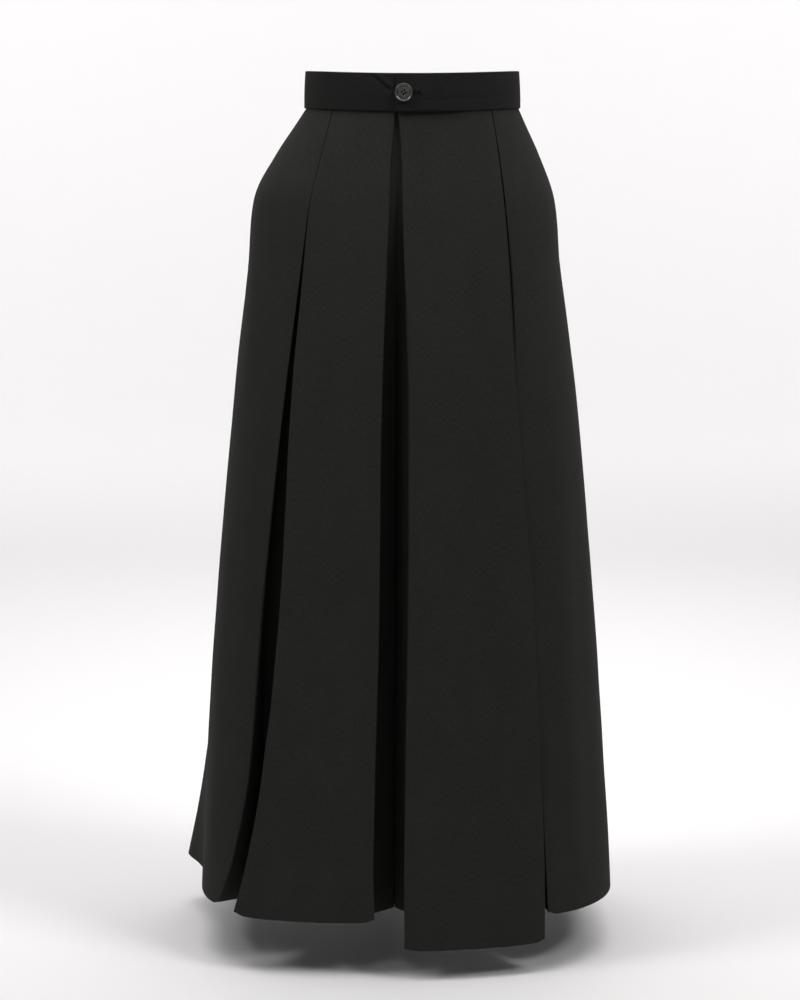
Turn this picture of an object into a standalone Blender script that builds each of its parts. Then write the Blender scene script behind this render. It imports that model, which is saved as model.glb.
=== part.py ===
"""Hakama trousers, worn and hanging: two wide pleated legs on a buttoned waistband.

Metres, +Z up. The trousers face -Y and the wearer's left is +X. The origin is the middle of the
waist opening, level with the middle of the waistband at the front. Every cloth piece is a thin wall
whose plan section is worked out at each height from the outline and fold tables below.
"""

import math

import bmesh
import bpy
from mathutils import Vector

# Cloth and seams
CLOTH_WALL = 0.0015
BAND_WALL = 0.0028
SEAM_GAP = 0.0003

# Waistband
BAND_HEIGHT = 0.044
BAND_DIP = 0.004
BAND_PROUD = 0.0009
BAND_FLARE = 0.0016
LAP_END_X = -0.0185
LAP_START_X = 0.074
LAP_RISE_X = 0.040
UNDERLAP_END_X = 0.030
LAP_CLEARANCE = 0.0004
BAND_STEPS = 64

# Button, four holes
BUTTON_X = -0.0098
BUTTON_Z = -0.0004
BUTTON_RADIUS = 0.0110
BUTTON_THICKNESS = 0.0034
BUTTON_RIM = 0.0034
BUTTON_DISH = 0.0009
BUTTON_HOLE_RADIUS = 0.00105
BUTTON_HOLE_REACH = 0.0024
BUTTON_TURN = math.radians(75)
BUTTON_SIDES = 32
BUTTON_HOLE_SIDES = 10

# Heights of the named levels, from the waist seam down to the hem
LEVELS = {
    "waist": -0.0223,
    "high_hip": -0.075,
    "hip": -0.130,
    "seat": -0.200,
    "crotch": -0.360,
    "knee": -0.600,
    "shin": -0.800,
    "ankle": -0.900,
    "hem": -0.964,
}
LEVEL_ORDER = list(LEVELS)

# The outline of the trousers at each level: half widths to the wearer's right and left, depths to
# the front and back of the origin, and how square the front and back of that oval are
OUTLINE = {
    #               waist  h_hip  hip    seat   crotch knee   shin   ankle  hem
    "half_right":  (0.1264, 0.1605, 0.1870, 0.1960, 0.2150, 0.2362, 0.2505, 0.2560, 0.2590),
    "half_left":   (0.1268, 0.1500, 0.1690, 0.1775, 0.1985, 0.2205, 0.2350, 0.2420, 0.2455),
    "front":       (0.097, 0.107, 0.118, 0.129, 0.148, 0.169, 0.185, 0.192, 0.197),
    "back":        (0.097, 0.116, 0.134, 0.146, 0.156, 0.180, 0.200, 0.210, 0.216),
    "front_power": (2.00, 2.08, 2.16, 2.26, 2.45, 2.70, 2.88, 2.95, 3.00),
    "back_power":  (2.00, 2.08, 2.14, 2.20, 2.30, 2.45, 2.60, 2.70, 2.75),
}

# Where each fold edge of the front lies across the trousers at each level
FOLD_X = {
    #                  waist    h_hip    hip      seat     crotch   knee     shin     ankle    hem
    "right_side":    (-0.0938, -0.1075, -0.1213, -0.1303, -0.1505, -0.1769, -0.1934, -0.2129, -0.2320),
    "right_outer":   (-0.0924, -0.1059, -0.1192, -0.1266, -0.1405, -0.1518, -0.1730, -0.1900, -0.2040),
    "right_centre":  (-0.0207, -0.0260, -0.0284, -0.0313, -0.0366, -0.0393, -0.0442, -0.0455, -0.0443),
    "left_centre":   (-0.0160, -0.0116, -0.0100, -0.0079, 0.0000, -0.0020, -0.0072, -0.0092, -0.0092),
    "left_outer":    (0.0920, 0.1007, 0.1074, 0.1134, 0.1217, 0.1408, 0.1518, 0.1560, 0.1570),
    "left_side":     (0.0936, 0.1025, 0.1093, 0.1154, 0.1238, 0.1433, 0.1546, 0.1602, 0.1640),
}

# The pleats at each level: spacing of the folded layers, depth of each recess behind the panels, and
# how far each return reaches sideways behind its own panel (less than nothing: into the recess). The
# right and left tucks are those of the centre pleat.
PLEATS = {
    #                  waist   h_hip   hip     seat    crotch  knee    shin    ankle   hem
    "layer":         (0.0026, 0.0028, 0.0032, 0.0036, 0.0042, 0.0050, 0.0055, 0.0055, 0.0050),
    "side_depth":    (0.0052, 0.0060, 0.0085, 0.0150, 0.0230, 0.0320, 0.0460, 0.0620, 0.0730),
    "lapped_depth":  (0.0104, 0.0114, 0.0130, 0.0160, 0.0240, 0.0330, 0.0400, 0.0430, 0.0450),
    "centre_depth":  (0.0052, 0.0060, 0.0080, 0.0120, 0.0200, 0.0260, 0.0290, 0.0300, 0.0300),
    "bottom_depth":  (0.0052, 0.0064, 0.0090, 0.0160, 0.0420, 0.0560, 0.0600, 0.0600, 0.0580),
    "side_tuck":     (0.0260, 0.0270, 0.0270, 0.0260, 0.0260, 0.0260, 0.0240, 0.0200, 0.0160),
    "outer_tuck":    (0.0260, 0.0260, 0.0190, 0.0050, -0.0060, -0.0090, -0.0070, -0.0070, -0.0060),
    "lapped_tuck":   (0.0260, 0.0270, 0.0280, 0.0280, 0.0280, 0.0270, 0.0250, 0.0230, 0.0200),
    "right_tuck":    (0.0240, 0.0220, 0.0180, 0.0140, 0.0100, 0.0090, 0.0090, 0.0080, 0.0060),
    "left_tuck":     (0.0240, 0.0180, 0.0110, 0.0030, -0.0110, -0.0090, -0.0020, 0.0040, 0.0060),
}

# How far the panels stand forward of the outline at their fold edges
SWING = {
    "right_side":    (0.0, 0.0, 0.0, 0.0, 0.000, 0.000, 0.000, 0.000, 0.000),
    "left_side":     (0.0, 0.0, 0.0, 0.0, -0.001, -0.003, -0.005, -0.006, -0.006),
    "right_outer":   (0.0, 0.0, 0.0, 0.0, 0.002, 0.006, 0.009, 0.011, 0.013),
    "right_centre":  (0.0, 0.0, 0.001, 0.002, 0.003, 0.004, 0.004, 0.004, 0.004),
    "left_centre":   (0.0, 0.0, 0.001, 0.002, 0.005, 0.010, 0.014, 0.017, 0.019),
    "left_outer":    (0.0, 0.0, 0.0, 0.001, 0.003, 0.003, 0.002, 0.001, 0.000),
}

# The wearer's left main panel hangs lower than the rest of the hem
PANEL_DROP = (0.0, 0.0, 0.0, 0.0, 0.0, 0.004, 0.012, 0.020, 0.030)

# Centre seams, the crotch curve between them and the inside of the legs
FRONT_SEAM_X = (-0.0182, -0.0184, -0.0188, -0.0192, -0.0200, -0.0206, -0.0212, -0.0215, -0.0216)
BACK_SEAM_X = (-0.001, -0.002, -0.003, -0.004, -0.006, -0.007, -0.008, -0.008, -0.008)
FRONT_CURVE_Z = -0.250
BACK_CURVE_Z = -0.200
CROTCH_Y = 0.018
LEG_CLEARANCE = {"crotch": 0.0, "hem": 0.0004}
LEG_EASE = 0.0005
BACK_EDGE = (0.003, 0.003, 0.003, 0.004, 0.014, 0.020, 0.023, 0.025, 0.026)
BACK_RECESS = (0.0, 0.0, 0.0, 0.001, 0.014, 0.028, 0.038, 0.042, 0.045)
CORNER_CUT = 0.42
SOFT_CUT = 0.010
OPEN_DEPTH = 0.012

# Soft folds that hang round the back. The angle is from the back centre, plus to the wearer's left,
# and each fold grows from its start height to its full height at the hem
BACK_FOLDS = [
    {"angle": -71, "spread": 11, "height": 0.038, "start": -0.46, "growth": 2.7},
    {"angle": -40, "spread": 9, "height": 0.014, "start": -0.34, "growth": 1.3},
    {"angle": -20, "spread": 8, "height": 0.012, "start": -0.40, "growth": 1.2},
    {"angle": 16, "spread": 8, "height": 0.012, "start": -0.36, "growth": 1.2},
    {"angle": 37, "spread": 9, "height": 0.018, "start": -0.30, "growth": 1.3},
    {"angle": 60, "spread": 10, "height": 0.015, "start": -0.42, "growth": 1.4},
]

# Pocket mouths in the side seams
POCKET_TOP = -0.045
POCKET_BOTTOM = -0.205
POCKET_GAPE = 0.0028
FACING_BOTTOM = -0.251
FACING_STATIONS = 2
FACING_GAP = 0.0005

# Stations across the plain part of each piece
SIDE_STATIONS = 6
FRONT_STATIONS = 6
BACK_STATIONS = 18
INSIDE_STATIONS = 5

# Heights of the plan sections that the walls are built through
SECTION_ZS = [
    -0.0223, -0.060, -0.100, -0.140, -0.190, -0.250, -0.300, -0.335, -0.353,
    -0.360, -0.420, -0.500, -0.590, -0.680, -0.770, -0.850, -0.912, -0.964,
]

CLOTH_COLOUR = (0.020, 0.020, 0.0195, 1.0)
BAND_COLOUR = (0.016, 0.016, 0.0165, 1.0)
BUTTON_COLOUR = (0.045, 0.048, 0.046, 1.0)


def at_level(row, z):
    """The value of a table row at height z, by a smooth curve that never overshoots its levels."""
    heights = [LEVELS[name] for name in LEVEL_ORDER]
    if z >= heights[0]:
        return row[0]
    if z <= heights[-1]:
        return row[-1]
    i = max(n for n, height in enumerate(heights) if height >= z)
    steps = [(row[n + 1] - row[n]) / (heights[n + 1] - heights[n]) for n in range(len(row) - 1)]
    slopes = []
    for n in range(len(row)):
        before = steps[max(n - 1, 0)]
        after = steps[min(n, len(steps) - 1)]
        same_way = before * after > 0
        slopes.append(2 * before * after / (before + after) if same_way else 0.0)
    slopes[0], slopes[-1] = steps[0], steps[-1]
    span = heights[i + 1] - heights[i]
    t = (z - heights[i]) / span
    return (
        (2 * t**3 - 3 * t**2 + 1) * row[i]
        + (t**3 - 2 * t**2 + t) * span * slopes[i]
        + (3 * t**2 - 2 * t**3) * row[i + 1]
        + (t**3 - t**2) * span * slopes[i + 1]
    )


def eased(t):
    """0 to 1 with level ends."""
    t = min(max(t, 0.0), 1.0)
    return t * t * (3 - 2 * t)


class Oval:
    """The plan outline of the trousers at one height, measured by arc length from the front centre."""

    SAMPLES = 120

    def __init__(self, z):
        self.z = z
        self.size = {name: at_level(row, z) for name, row in OUTLINE.items()}
        self.track = {}
        for side in (-1, 1):
            turns = [math.pi * n / self.SAMPLES for n in range(self.SAMPLES + 1)]
            points = [self.point_at_turn(side * turn) for turn in turns]
            lengths = [0.0]
            for a, b in zip(points, points[1:]):
                lengths.append(lengths[-1] + (b - a).length)
            self.track[side] = (turns, lengths)

    def shape(self, side, front):
        half = self.size["half_left"] if side > 0 else self.size["half_right"]
        deep = self.size["front"] if front else self.size["back"]
        power = self.size["front_power"] if front else self.size["back_power"]
        return half, deep, power

    def point_at_turn(self, turn):
        """turn is 0 at the front centre, half pi at the wearer's left side and pi at the back."""
        across, along = math.sin(turn), math.cos(turn)
        half, deep, power = self.shape(1 if across >= 0 else -1, along >= 0)
        x = math.copysign(half * abs(across) ** (2 / power), across)
        y = math.copysign(deep * abs(along) ** (2 / power), -along)
        return Vector((x, y))

    def outward(self, turn):
        across, along = math.sin(turn), math.cos(turn)
        half, deep, power = self.shape(1 if across >= 0 else -1, along >= 0)
        share = 2 * (power - 1) / power
        return Vector(
            (
                math.copysign(abs(across) ** share / half, across),
                math.copysign(abs(along) ** share / deep, -along),
            )
        ).normalized()

    def turn_at(self, length):
        side = 1 if length >= 0 else -1
        turns, lengths = self.track[side]
        reach = min(abs(length), lengths[-1])
        n = max(i for i, known in enumerate(lengths[:-1]) if known <= reach)
        share = (reach - lengths[n]) / (lengths[n + 1] - lengths[n])
        return side * (turns[n] + share * (turns[n + 1] - turns[n]))

    def length_at_turn(self, turn):
        turns, lengths = self.track[1 if turn >= 0 else -1]
        place = abs(turn) / math.pi * self.SAMPLES
        n = min(int(place), self.SAMPLES - 1)
        length = lengths[n] + (place - n) * (lengths[n + 1] - lengths[n])
        return math.copysign(length, turn)

    def length_at_x(self, x):
        """Arc length of the front point at x."""
        half, _, power = self.shape(1 if x >= 0 else -1, True)
        share = min(abs(x) / half, 1.0) ** (power / 2)
        return self.length_at_turn(math.copysign(math.asin(share), x))

    def side_length(self, side):
        return self.length_at_turn(side * math.pi / 2)

    def back_length(self, side, x):
        """Arc length, round the given side, of the back point at x."""
        half, _, power = self.shape(1 if x >= 0 else -1, False)
        share = min(abs(x) / half, 1.0) ** (power / 2)
        turn = math.pi - math.asin(share)
        if (x >= 0) == (side > 0):
            return self.length_at_turn(side * turn)
        return side * (2 * self.length_at_turn(math.pi) - self.length_at_turn(turn))

    def folded_out(self, turn):
        """How far the back's soft folds stand out at this turn and height."""
        angle = math.degrees(math.copysign(math.pi, turn) - turn)
        total = 0.0
        for fold in BACK_FOLDS:
            grown = (fold["start"] - self.z) / (fold["start"] - LEVELS["hem"])
            if grown > 0:
                away = (angle - fold["angle"]) / fold["spread"]
                total += fold["height"] * grown ** fold["growth"] * math.exp(-away * away)
        return total

    def at(self, length, depth=0.0):
        """The point at this arc length, depth inside the outline, with the waist's dip in its height."""
        turn = self.turn_at(length)
        flat = self.point_at_turn(turn) - self.outward(turn) * depth
        front = max(math.cos(turn), 0.0)
        fade = eased((self.z - LEVELS["seat"]) / (LEVELS["waist"] - LEVELS["seat"]))
        return Vector((flat.x, flat.y, self.z + BAND_DIP * (1 - front**2) * fade))


def softened(corners):
    """Points along a plan path. Each corner is (point, cut): its tip is cut off that far along both
    of its edges, which leaves two points. A corner with no cut stays one point."""
    points = []
    for n, (corner, cut) in enumerate(corners):
        if not cut:
            points.append(corner)
            continue
        before = corners[n - 1][0] - corner
        after = corners[n + 1][0] - corner
        start = corner + before.normalized() * min(cut, CORNER_CUT * before.length)
        end = corner + after.normalized() * min(cut, CORNER_CUT * after.length)
        points += [start, end]
    return points


def pleat_side(oval, length, facing, tuck, depth, layer, forward, drop=0.0):
    """Corners of one fold and its return, from the panel's face to the bottom of the recess. facing
    is the way the fold's edge points along the outline, and forward is how far it stands out. Where
    the recess is shallow the return lies flat behind the panel, and where it is deep it runs straight
    to the bottom."""
    tucked = length - facing * tuck
    fold_tip = oval.at(length, -forward)
    bottom = oval.at(tucked, depth)
    fold_tip.z -= drop
    straight = bottom - fold_tip
    flat_back = oval.at(length, layer - forward)
    flat_back.z -= drop
    flat_turn = oval.at(tucked, depth - layer)
    opened = eased((depth - 2 * layer) / OPEN_DEPTH)
    fold_back = flat_back.lerp(fold_tip + straight.normalized() * layer, opened)
    shallow = flat_turn.lerp(fold_tip + straight * 0.72, opened)
    soft = soft_cut(layer, depth)
    return [
        (fold_tip, CORNER_CUT * layer),
        (fold_back, CORNER_CUT * layer),
        (shallow, soft),
        (bottom, soft),
    ]


def panel_run(oval, start, end, count, forward, drop=0.0):
    """Points between two folds along the outline, standing forward from one value to the other."""
    run = []
    for n in range(1, count):
        t = n / count
        stand = forward[0] + (forward[1] - forward[0]) * t
        point = oval.at(start + (end - start) * t, -stand)
        point.z -= drop
        run.append((point, 0.0))
    return run


def side_fold_length(oval, side):
    """Arc length of the side panel's fold edge."""
    return oval.length_at_x(at_level(FOLD_X["left_side" if side > 0 else "right_side"], oval.z))


def back_edge_length(oval, side):
    """Arc length of the corner where the back turns in to its centre seam."""
    edge_x = at_level(BACK_SEAM_X, oval.z) + side * at_level(BACK_EDGE, oval.z)
    return oval.back_length(side, edge_x)


def side_front_path(z, side):
    """From the side seam round the side panel, into the outer pleat, to the seam in its recess."""
    oval = Oval(z)
    name = "left" if side > 0 else "right"
    lapped = side > 0
    layer = at_level(PLEATS["layer"], z)
    depth = at_level(PLEATS["lapped_depth" if lapped else "side_depth"], z)
    tuck = at_level(PLEATS["lapped_tuck" if lapped else "side_tuck"], z)
    fold = side_fold_length(oval, side)
    forward = at_level(SWING[f"{name}_side"], z)
    seam = oval.side_length(side) - side * SEAM_GAP / 2
    mouth = (z - POCKET_BOTTOM) / (POCKET_TOP - POCKET_BOTTOM)
    gape = POCKET_GAPE * math.sin(math.pi * mouth) if 0 < mouth < 1 else 0.0
    corners = [(oval.at(seam, -gape), 0.0)]
    for n in range(1, SIDE_STATIONS):
        t = n / SIDE_STATIONS
        stand = forward * eased(1.6 * t - 0.4) + gape * (1 - t) ** 6
        corners.append((oval.at(seam + (fold - seam) * t, -stand), 0.0))
    soft = soft_cut(layer, depth)
    corners += pleat_side(oval, fold, -side, tuck, depth, layer, forward)
    outer = oval.length_at_x(at_level(FOLD_X[f"{name}_outer"], z))
    outer_tuck = at_level(PLEATS["lapped_tuck" if lapped else "outer_tuck"], z)
    end = outer - side * outer_tuck
    corners.append((oval.at((fold + side * tuck + end) / 2, depth), 0.0))
    corners.append((oval.at(end + side * (soft + SEAM_GAP), depth), 0.0))
    return softened(corners)


def soft_cut(layer, depth):
    """How much the corners at the bottom of a recess are rounded off: more where it stands open."""
    open_share = max(depth - 2 * layer, 0.0) * 0.2
    return min(CORNER_CUT * layer + open_share, SOFT_CUT)


def front_path(z, side):
    """From the seam in the outer pleat's recess, over the main panel, into the centre pleat and, below
    the crotch curve, back along the inside of the leg. Also how many points come before that."""
    oval = Oval(z)
    name = "left" if side > 0 else "right"
    lapped = side > 0
    layer = at_level(PLEATS["layer"], z)
    depth = at_level(PLEATS["lapped_depth" if lapped else "side_depth"], z)
    outer_tuck = at_level(PLEATS["lapped_tuck" if lapped else "outer_tuck"], z)
    outer = oval.length_at_x(at_level(FOLD_X[f"{name}_outer"], z))
    centre = oval.length_at_x(at_level(FOLD_X[f"{name}_centre"], z))
    forward = [at_level(SWING[f"{name}_{edge}"], z) for edge in ("outer", "centre")]
    drop = at_level(PANEL_DROP, z) if lapped else 0.0
    soft = soft_cut(layer, depth)
    pleat = pleat_side(oval, outer, side, outer_tuck, depth, layer, forward[0], drop)
    start = oval.at(outer - side * (outer_tuck - soft), depth)
    corners = [(start, 0.0)] + pleat[::-1]
    corners += panel_run(oval, outer, centre, FRONT_STATIONS, forward, drop)
    centre_tuck = at_level(PLEATS[f"{name}_tuck"], z)
    centre_depth = at_level(PLEATS["centre_depth"], z)
    corners += pleat_side(oval, centre, -side, centre_tuck, centre_depth, layer, forward[1], drop)
    seam = oval.at(oval.length_at_x(at_level(FRONT_SEAM_X, z)), at_level(PLEATS["bottom_depth"], z))
    return inner_wall(z, side, corners, seam, FRONT_CURVE_Z, -1)


def back_path(z, side):
    """From the side seam round the back to the centre seam and, below the crotch curve, forward along
    the inside of the leg."""
    oval = Oval(z)
    seam_x = at_level(BACK_SEAM_X, z)
    start = oval.side_length(side) + side * SEAM_GAP / 2
    edge = back_edge_length(oval, side)
    corners = []
    for n in range(BACK_STATIONS):
        length = start + (edge - start) * n / BACK_STATIONS
        out = oval.folded_out(oval.turn_at(length)) * eased(n / 2)
        corners.append((oval.at(length, -out), 0.0))
    recess = at_level(BACK_RECESS, z)
    corners.append((oval.at(edge), min(SOFT_CUT, 0.001 + 0.4 * recess)))
    seam = oval.at(oval.back_length(side, seam_x), recess)
    return inner_wall(z, side, corners, seam, BACK_CURVE_Z, 1)


def leg_gap(z):
    """Half the distance between the middles of the two legs' inside walls."""
    fall = (LEVELS["crotch"] - z) / (LEVELS["crotch"] - LEVELS["hem"])
    spread = LEG_CLEARANCE["crotch"] + (LEG_CLEARANCE["hem"] - LEG_CLEARANCE["crotch"]) * eased(fall)
    return CLOTH_WALL / 2 + SEAM_GAP / 2 + spread


def inner_wall(z, side, corners, seam, curve_z, front_or_back):
    """Ends a path at the centre seam, or below the crotch curve turns it along the inside of the leg.
    Returns the points and how many of them come before the part that isn't there above the curve."""
    gap = leg_gap(z)
    edge_point = seam.copy()
    if z >= curve_z - 1e-6:
        edge_point.x += side * SEAM_GAP / 2
        points = softened(corners + [(edge_point, 0.0)])
        before = len(points)
        return points + [edge_point] * (1 + INSIDE_STATIONS), before
    fall = min((curve_z - z) / (curve_z - LEVELS["crotch"]), 1.0)
    crotch_x = (at_level(FRONT_SEAM_X, z) + at_level(BACK_SEAM_X, z)) / 2
    inseam = Vector((crotch_x, CROTCH_Y + front_or_back * SEAM_GAP / 2, z))
    edge = edge_point.lerp(inseam, 1 - math.sqrt(1 - fall * fall))
    edge_point.x += side * (gap + LEG_EASE)
    edge.x += side * gap
    cut = min(0.006, 0.3 * (edge - edge_point).length)
    turned = softened(corners + [(edge_point, cut), (edge, 0.0)])[:-1]
    before = len(turned) - 1
    start = turned[-1]
    for n in range(1, INSIDE_STATIONS + 1):
        t = n / INSIDE_STATIONS
        point = start.lerp(edge, t)
        point.x += side * LEG_EASE * 4 * t * (1 - t)
        turned.append(point)
    return turned, before


def offsets(points, wall, end_direction):
    """The two faces of a wall whose middle runs through these plan points. end_direction is the way
    that the wall's last end is cut, or None for a cut straight across it."""
    outer, inner = [], []
    for n, point in enumerate(points):
        before = points[n] - points[n - 1] if n else None
        after = points[n + 1] - points[n] if n + 1 < len(points) else None
        normals = [Vector((d.y, -d.x)).normalized() for d in (before, after) if d is not None]
        middle = sum(normals, Vector((0.0, 0.0))).normalized()
        if end_direction and after is None:
            middle = end_direction if end_direction.dot(middle) > 0 else -end_direction
        reach = wall / 2 / max(middle.dot(normals[0]), 0.6)
        shift = Vector((middle.x * reach, middle.y * reach, 0.0))
        outer.append(point + shift)
        inner.append(point - shift)
    return outer, inner


def add_object(name, vertices, faces, colour, roughness, smooth_angle=50):
    mesh = bpy.data.meshes.new(name)
    mesh.from_pydata([tuple(v) for v in vertices], [], faces)
    mesh.validate()
    edited = bmesh.new()
    edited.from_mesh(mesh)
    bmesh.ops.recalc_face_normals(edited, faces=edited.faces)
    edited.to_mesh(mesh)
    edited.free()
    mesh.shade_smooth()
    mesh.set_sharp_from_angle(angle=math.radians(smooth_angle))
    material = bpy.data.materials.new(name)
    material.use_nodes = True
    shader = material.node_tree.nodes["Principled BSDF"]
    shader.inputs["Base Color"].default_value = colour
    shader.inputs["Roughness"].default_value = roughness
    shader.inputs["Metallic"].default_value = 0.0
    mesh.materials.append(material)
    made = bpy.data.objects.new(name, mesh)
    bpy.context.scene.collection.objects.link(made)
    return made


def wall_mesh(rows, wall):
    """A closed wall through plan sections. Each row is (points, before): the points after the first
    `before` of them all lie on the last of those where the section has no inside of the leg."""
    vertices, index = [], []
    for points, before in rows:
        real = list(points)
        while len(real) > before and (real[-1] - real[-2]).length < 1e-9:
            real.pop()
        at_seam = len(real) == before < len(points)
        outer, inner = offsets(real, wall, Vector((0.0, 1.0)) if at_seam else None)
        first = len(vertices)
        vertices += outer + inner
        columns = [min(c, len(real) - 1) for c in range(len(points))]
        index.append(([first + c for c in columns], [first + len(real) + c for c in columns]))
    faces = []

    def add_face(*corners):
        kept = [v for n, v in enumerate(corners) if v != corners[n - 1]]
        if len(set(kept)) > 2:
            faces.append(kept)

    for (outer_a, inner_a), (outer_b, inner_b) in zip(index, index[1:]):
        for c in range(len(outer_a) - 1):
            add_face(outer_a[c], outer_b[c], outer_b[c + 1], outer_a[c + 1])
            add_face(inner_a[c + 1], inner_b[c + 1], inner_b[c], inner_a[c])
        add_face(outer_a[0], inner_a[0], inner_b[0], outer_b[0])
        add_face(outer_a[-1], outer_b[-1], inner_b[-1], inner_a[-1])
    for outer, inner in (index[0], index[-1]):
        for c in range(len(outer) - 1):
            add_face(outer[c], outer[c + 1], inner[c + 1], inner[c])
    return vertices, faces


def build_cloth_piece(name, path, side):
    rows = []
    for z in SECTION_ZS:
        made = path(z, side)
        rows.append(made if isinstance(made, tuple) else (made, len(made)))
    vertices, faces = wall_mesh(rows, CLOTH_WALL)
    return add_object(name, vertices, faces, CLOTH_COLOUR, 0.85)


def facing_path(z, side):
    """The strip inside the pocket mouth: the first stations of the back and of the side panel, moved
    in by one wall and a seam's gap."""
    oval = Oval(z)
    seam = oval.side_length(side)
    back_step = (back_edge_length(oval, side) - seam) / BACK_STATIONS
    front_step = (side_fold_length(oval, side) - seam) / SIDE_STATIONS
    lengths = [seam + back_step * n for n in range(FACING_STATIONS, 0, -1)]
    lengths += [seam + front_step * n for n in range(FACING_STATIONS + 1)]
    return [oval.at(length, CLOTH_WALL + FACING_GAP) for length in lengths]


def build_pocket_facing(name, side):
    rows = []
    for z in SECTION_ZS:
        if z > FACING_BOTTOM:
            points = facing_path(z, side)
            rows.append((points, len(points)))
    vertices, faces = wall_mesh(rows, CLOTH_WALL)
    return add_object(name, vertices, faces, CLOTH_COLOUR, 0.85)


def band_stations():
    """Arc positions along the waistband from its hidden end, round the back, to the end on top."""
    oval = Oval(LEVELS["waist"])
    start = oval.length_at_x(UNDERLAP_END_X)
    whole = 2 * oval.length_at_turn(math.pi)
    end = oval.length_at_x(LAP_END_X) - whole
    stations = []
    for n in range(BAND_STEPS + 1):
        length = start + (end - start) * n / BAND_STEPS
        stations.append((oval, length, whole))
    return stations


def band_point(oval, length, whole, height):
    """A point on the middle of the waistband, at this height above its own middle."""
    around = length
    if around < -whole / 2:
        around += whole
    on_top = length < -whole / 2
    x = oval.at(around).x
    rise = eased((LAP_START_X - x) / (LAP_START_X - LAP_RISE_X)) if on_top and x < LAP_START_X else 0.0
    flare = -BAND_FLARE * height / BAND_HEIGHT
    out = BAND_PROUD + flare + rise * (BAND_WALL + LAP_CLEARANCE)
    point = oval.at(around, -out)
    point.z += height - LEVELS["waist"]
    return point


def build_waistband():
    heights = [BAND_HEIGHT / 2, 0.0, -BAND_HEIGHT / 2]
    rows = []
    for height in heights:
        points = [band_point(*station, height) for station in band_stations()]
        rows.append((points, len(points)))
    vertices, faces = wall_mesh(rows, BAND_WALL)
    return add_object("waistband", vertices, faces, BAND_COLOUR, 0.8)


def build_button():
    """A turned disc with a raised rim and a dished middle, drilled four times, facing -Y."""
    oval = Oval(LEVELS["waist"])
    length = oval.length_at_x(BUTTON_X)
    whole = 2 * oval.length_at_turn(math.pi)
    seat = band_point(oval, length - whole, whole, 0.0)
    out = oval.outward(oval.turn_at(length))
    direction = Vector((out.x, out.y, 0.0))
    base = seat + direction * (BAND_WALL / 2 + SEAM_GAP)
    base.z = BUTTON_Z
    flat = BUTTON_RADIUS - BUTTON_RIM
    thick = BUTTON_THICKNESS
    profile = [
        (0.0, 0.0),
        (BUTTON_RADIUS * 0.62, 0.0),
        (BUTTON_RADIUS * 0.94, thick * 0.30),
        (BUTTON_RADIUS, thick * 0.62),
        (BUTTON_RADIUS * 0.965, thick * 0.90),
        (BUTTON_RADIUS * 0.91, thick),
        (flat * 0.97, thick - BUTTON_DISH * 0.35),
        (flat * 0.88, thick - BUTTON_DISH),
        (0.0, thick - BUTTON_DISH),
    ]
    edited = bmesh.new()
    line = [edited.verts.new((r, 0.0, h)) for r, h in profile]
    edges = [edited.edges.new(pair) for pair in zip(line, line[1:])]
    bmesh.ops.spin(
        edited, geom=line + edges, axis=(0, 0, 1), cent=(0, 0, 0),
        steps=BUTTON_SIDES, angle=2 * math.pi,
    )
    bmesh.ops.remove_doubles(edited, verts=edited.verts, dist=1e-6)
    bmesh.ops.recalc_face_normals(edited, faces=edited.faces)
    mesh = bpy.data.meshes.new("button_blank")
    edited.to_mesh(mesh)
    edited.free()
    made = add_object("button", [v.co.copy() for v in mesh.vertices],
                      [tuple(p.vertices) for p in mesh.polygons], BUTTON_COLOUR, 0.35, 30)
    bpy.data.meshes.remove(mesh)
    made.rotation_mode = "QUATERNION"
    made.rotation_quaternion = direction.to_track_quat("Z", "Y")
    made.location = base
    for n in range(4):
        angle = BUTTON_TURN + n * math.pi / 2
        bpy.ops.mesh.primitive_cylinder_add(
            vertices=BUTTON_HOLE_SIDES, radius=BUTTON_HOLE_RADIUS, depth=4 * thick
        )
        cutter = bpy.context.active_object
        cutter.name = f"button_hole_{n + 1}"
        cutter.parent = made
        cutter.location = (
            BUTTON_HOLE_REACH * math.cos(angle), BUTTON_HOLE_REACH * math.sin(angle), thick / 2,
        )
        cutter.hide_render = True
        cutter.display_type = "WIRE"
        drill = made.modifiers.new(f"hole_{n + 1}", "BOOLEAN")
        drill.object = cutter
        drill.operation = "DIFFERENCE"
        drill.solver = "EXACT"
    return made


def main():
    for old in list(bpy.data.objects):
        bpy.data.objects.remove(old)
    build_waistband()
    build_button()
    for side, name in ((-1, "right"), (1, "left")):
        build_cloth_piece(f"side_front_{name}", side_front_path, side)
        build_cloth_piece(f"front_{name}", front_path, side)
        build_cloth_piece(f"back_{name}", back_path, side)
        build_pocket_facing(f"pocket_facing_{name}", side)


main()
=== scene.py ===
"""Hakama trousers, dressed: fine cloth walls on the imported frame, with seams, thread and a button.

Metres, +Z up. The trousers face -Y and the wearer's left is +X. The plan sections are worked out
from the same outline and fold tables as the solids, at more heights and with finer corners.
"""

import math
from bisect import bisect_right

import bmesh
import bpy
from mathutils import Matrix, Vector, noise


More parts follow.
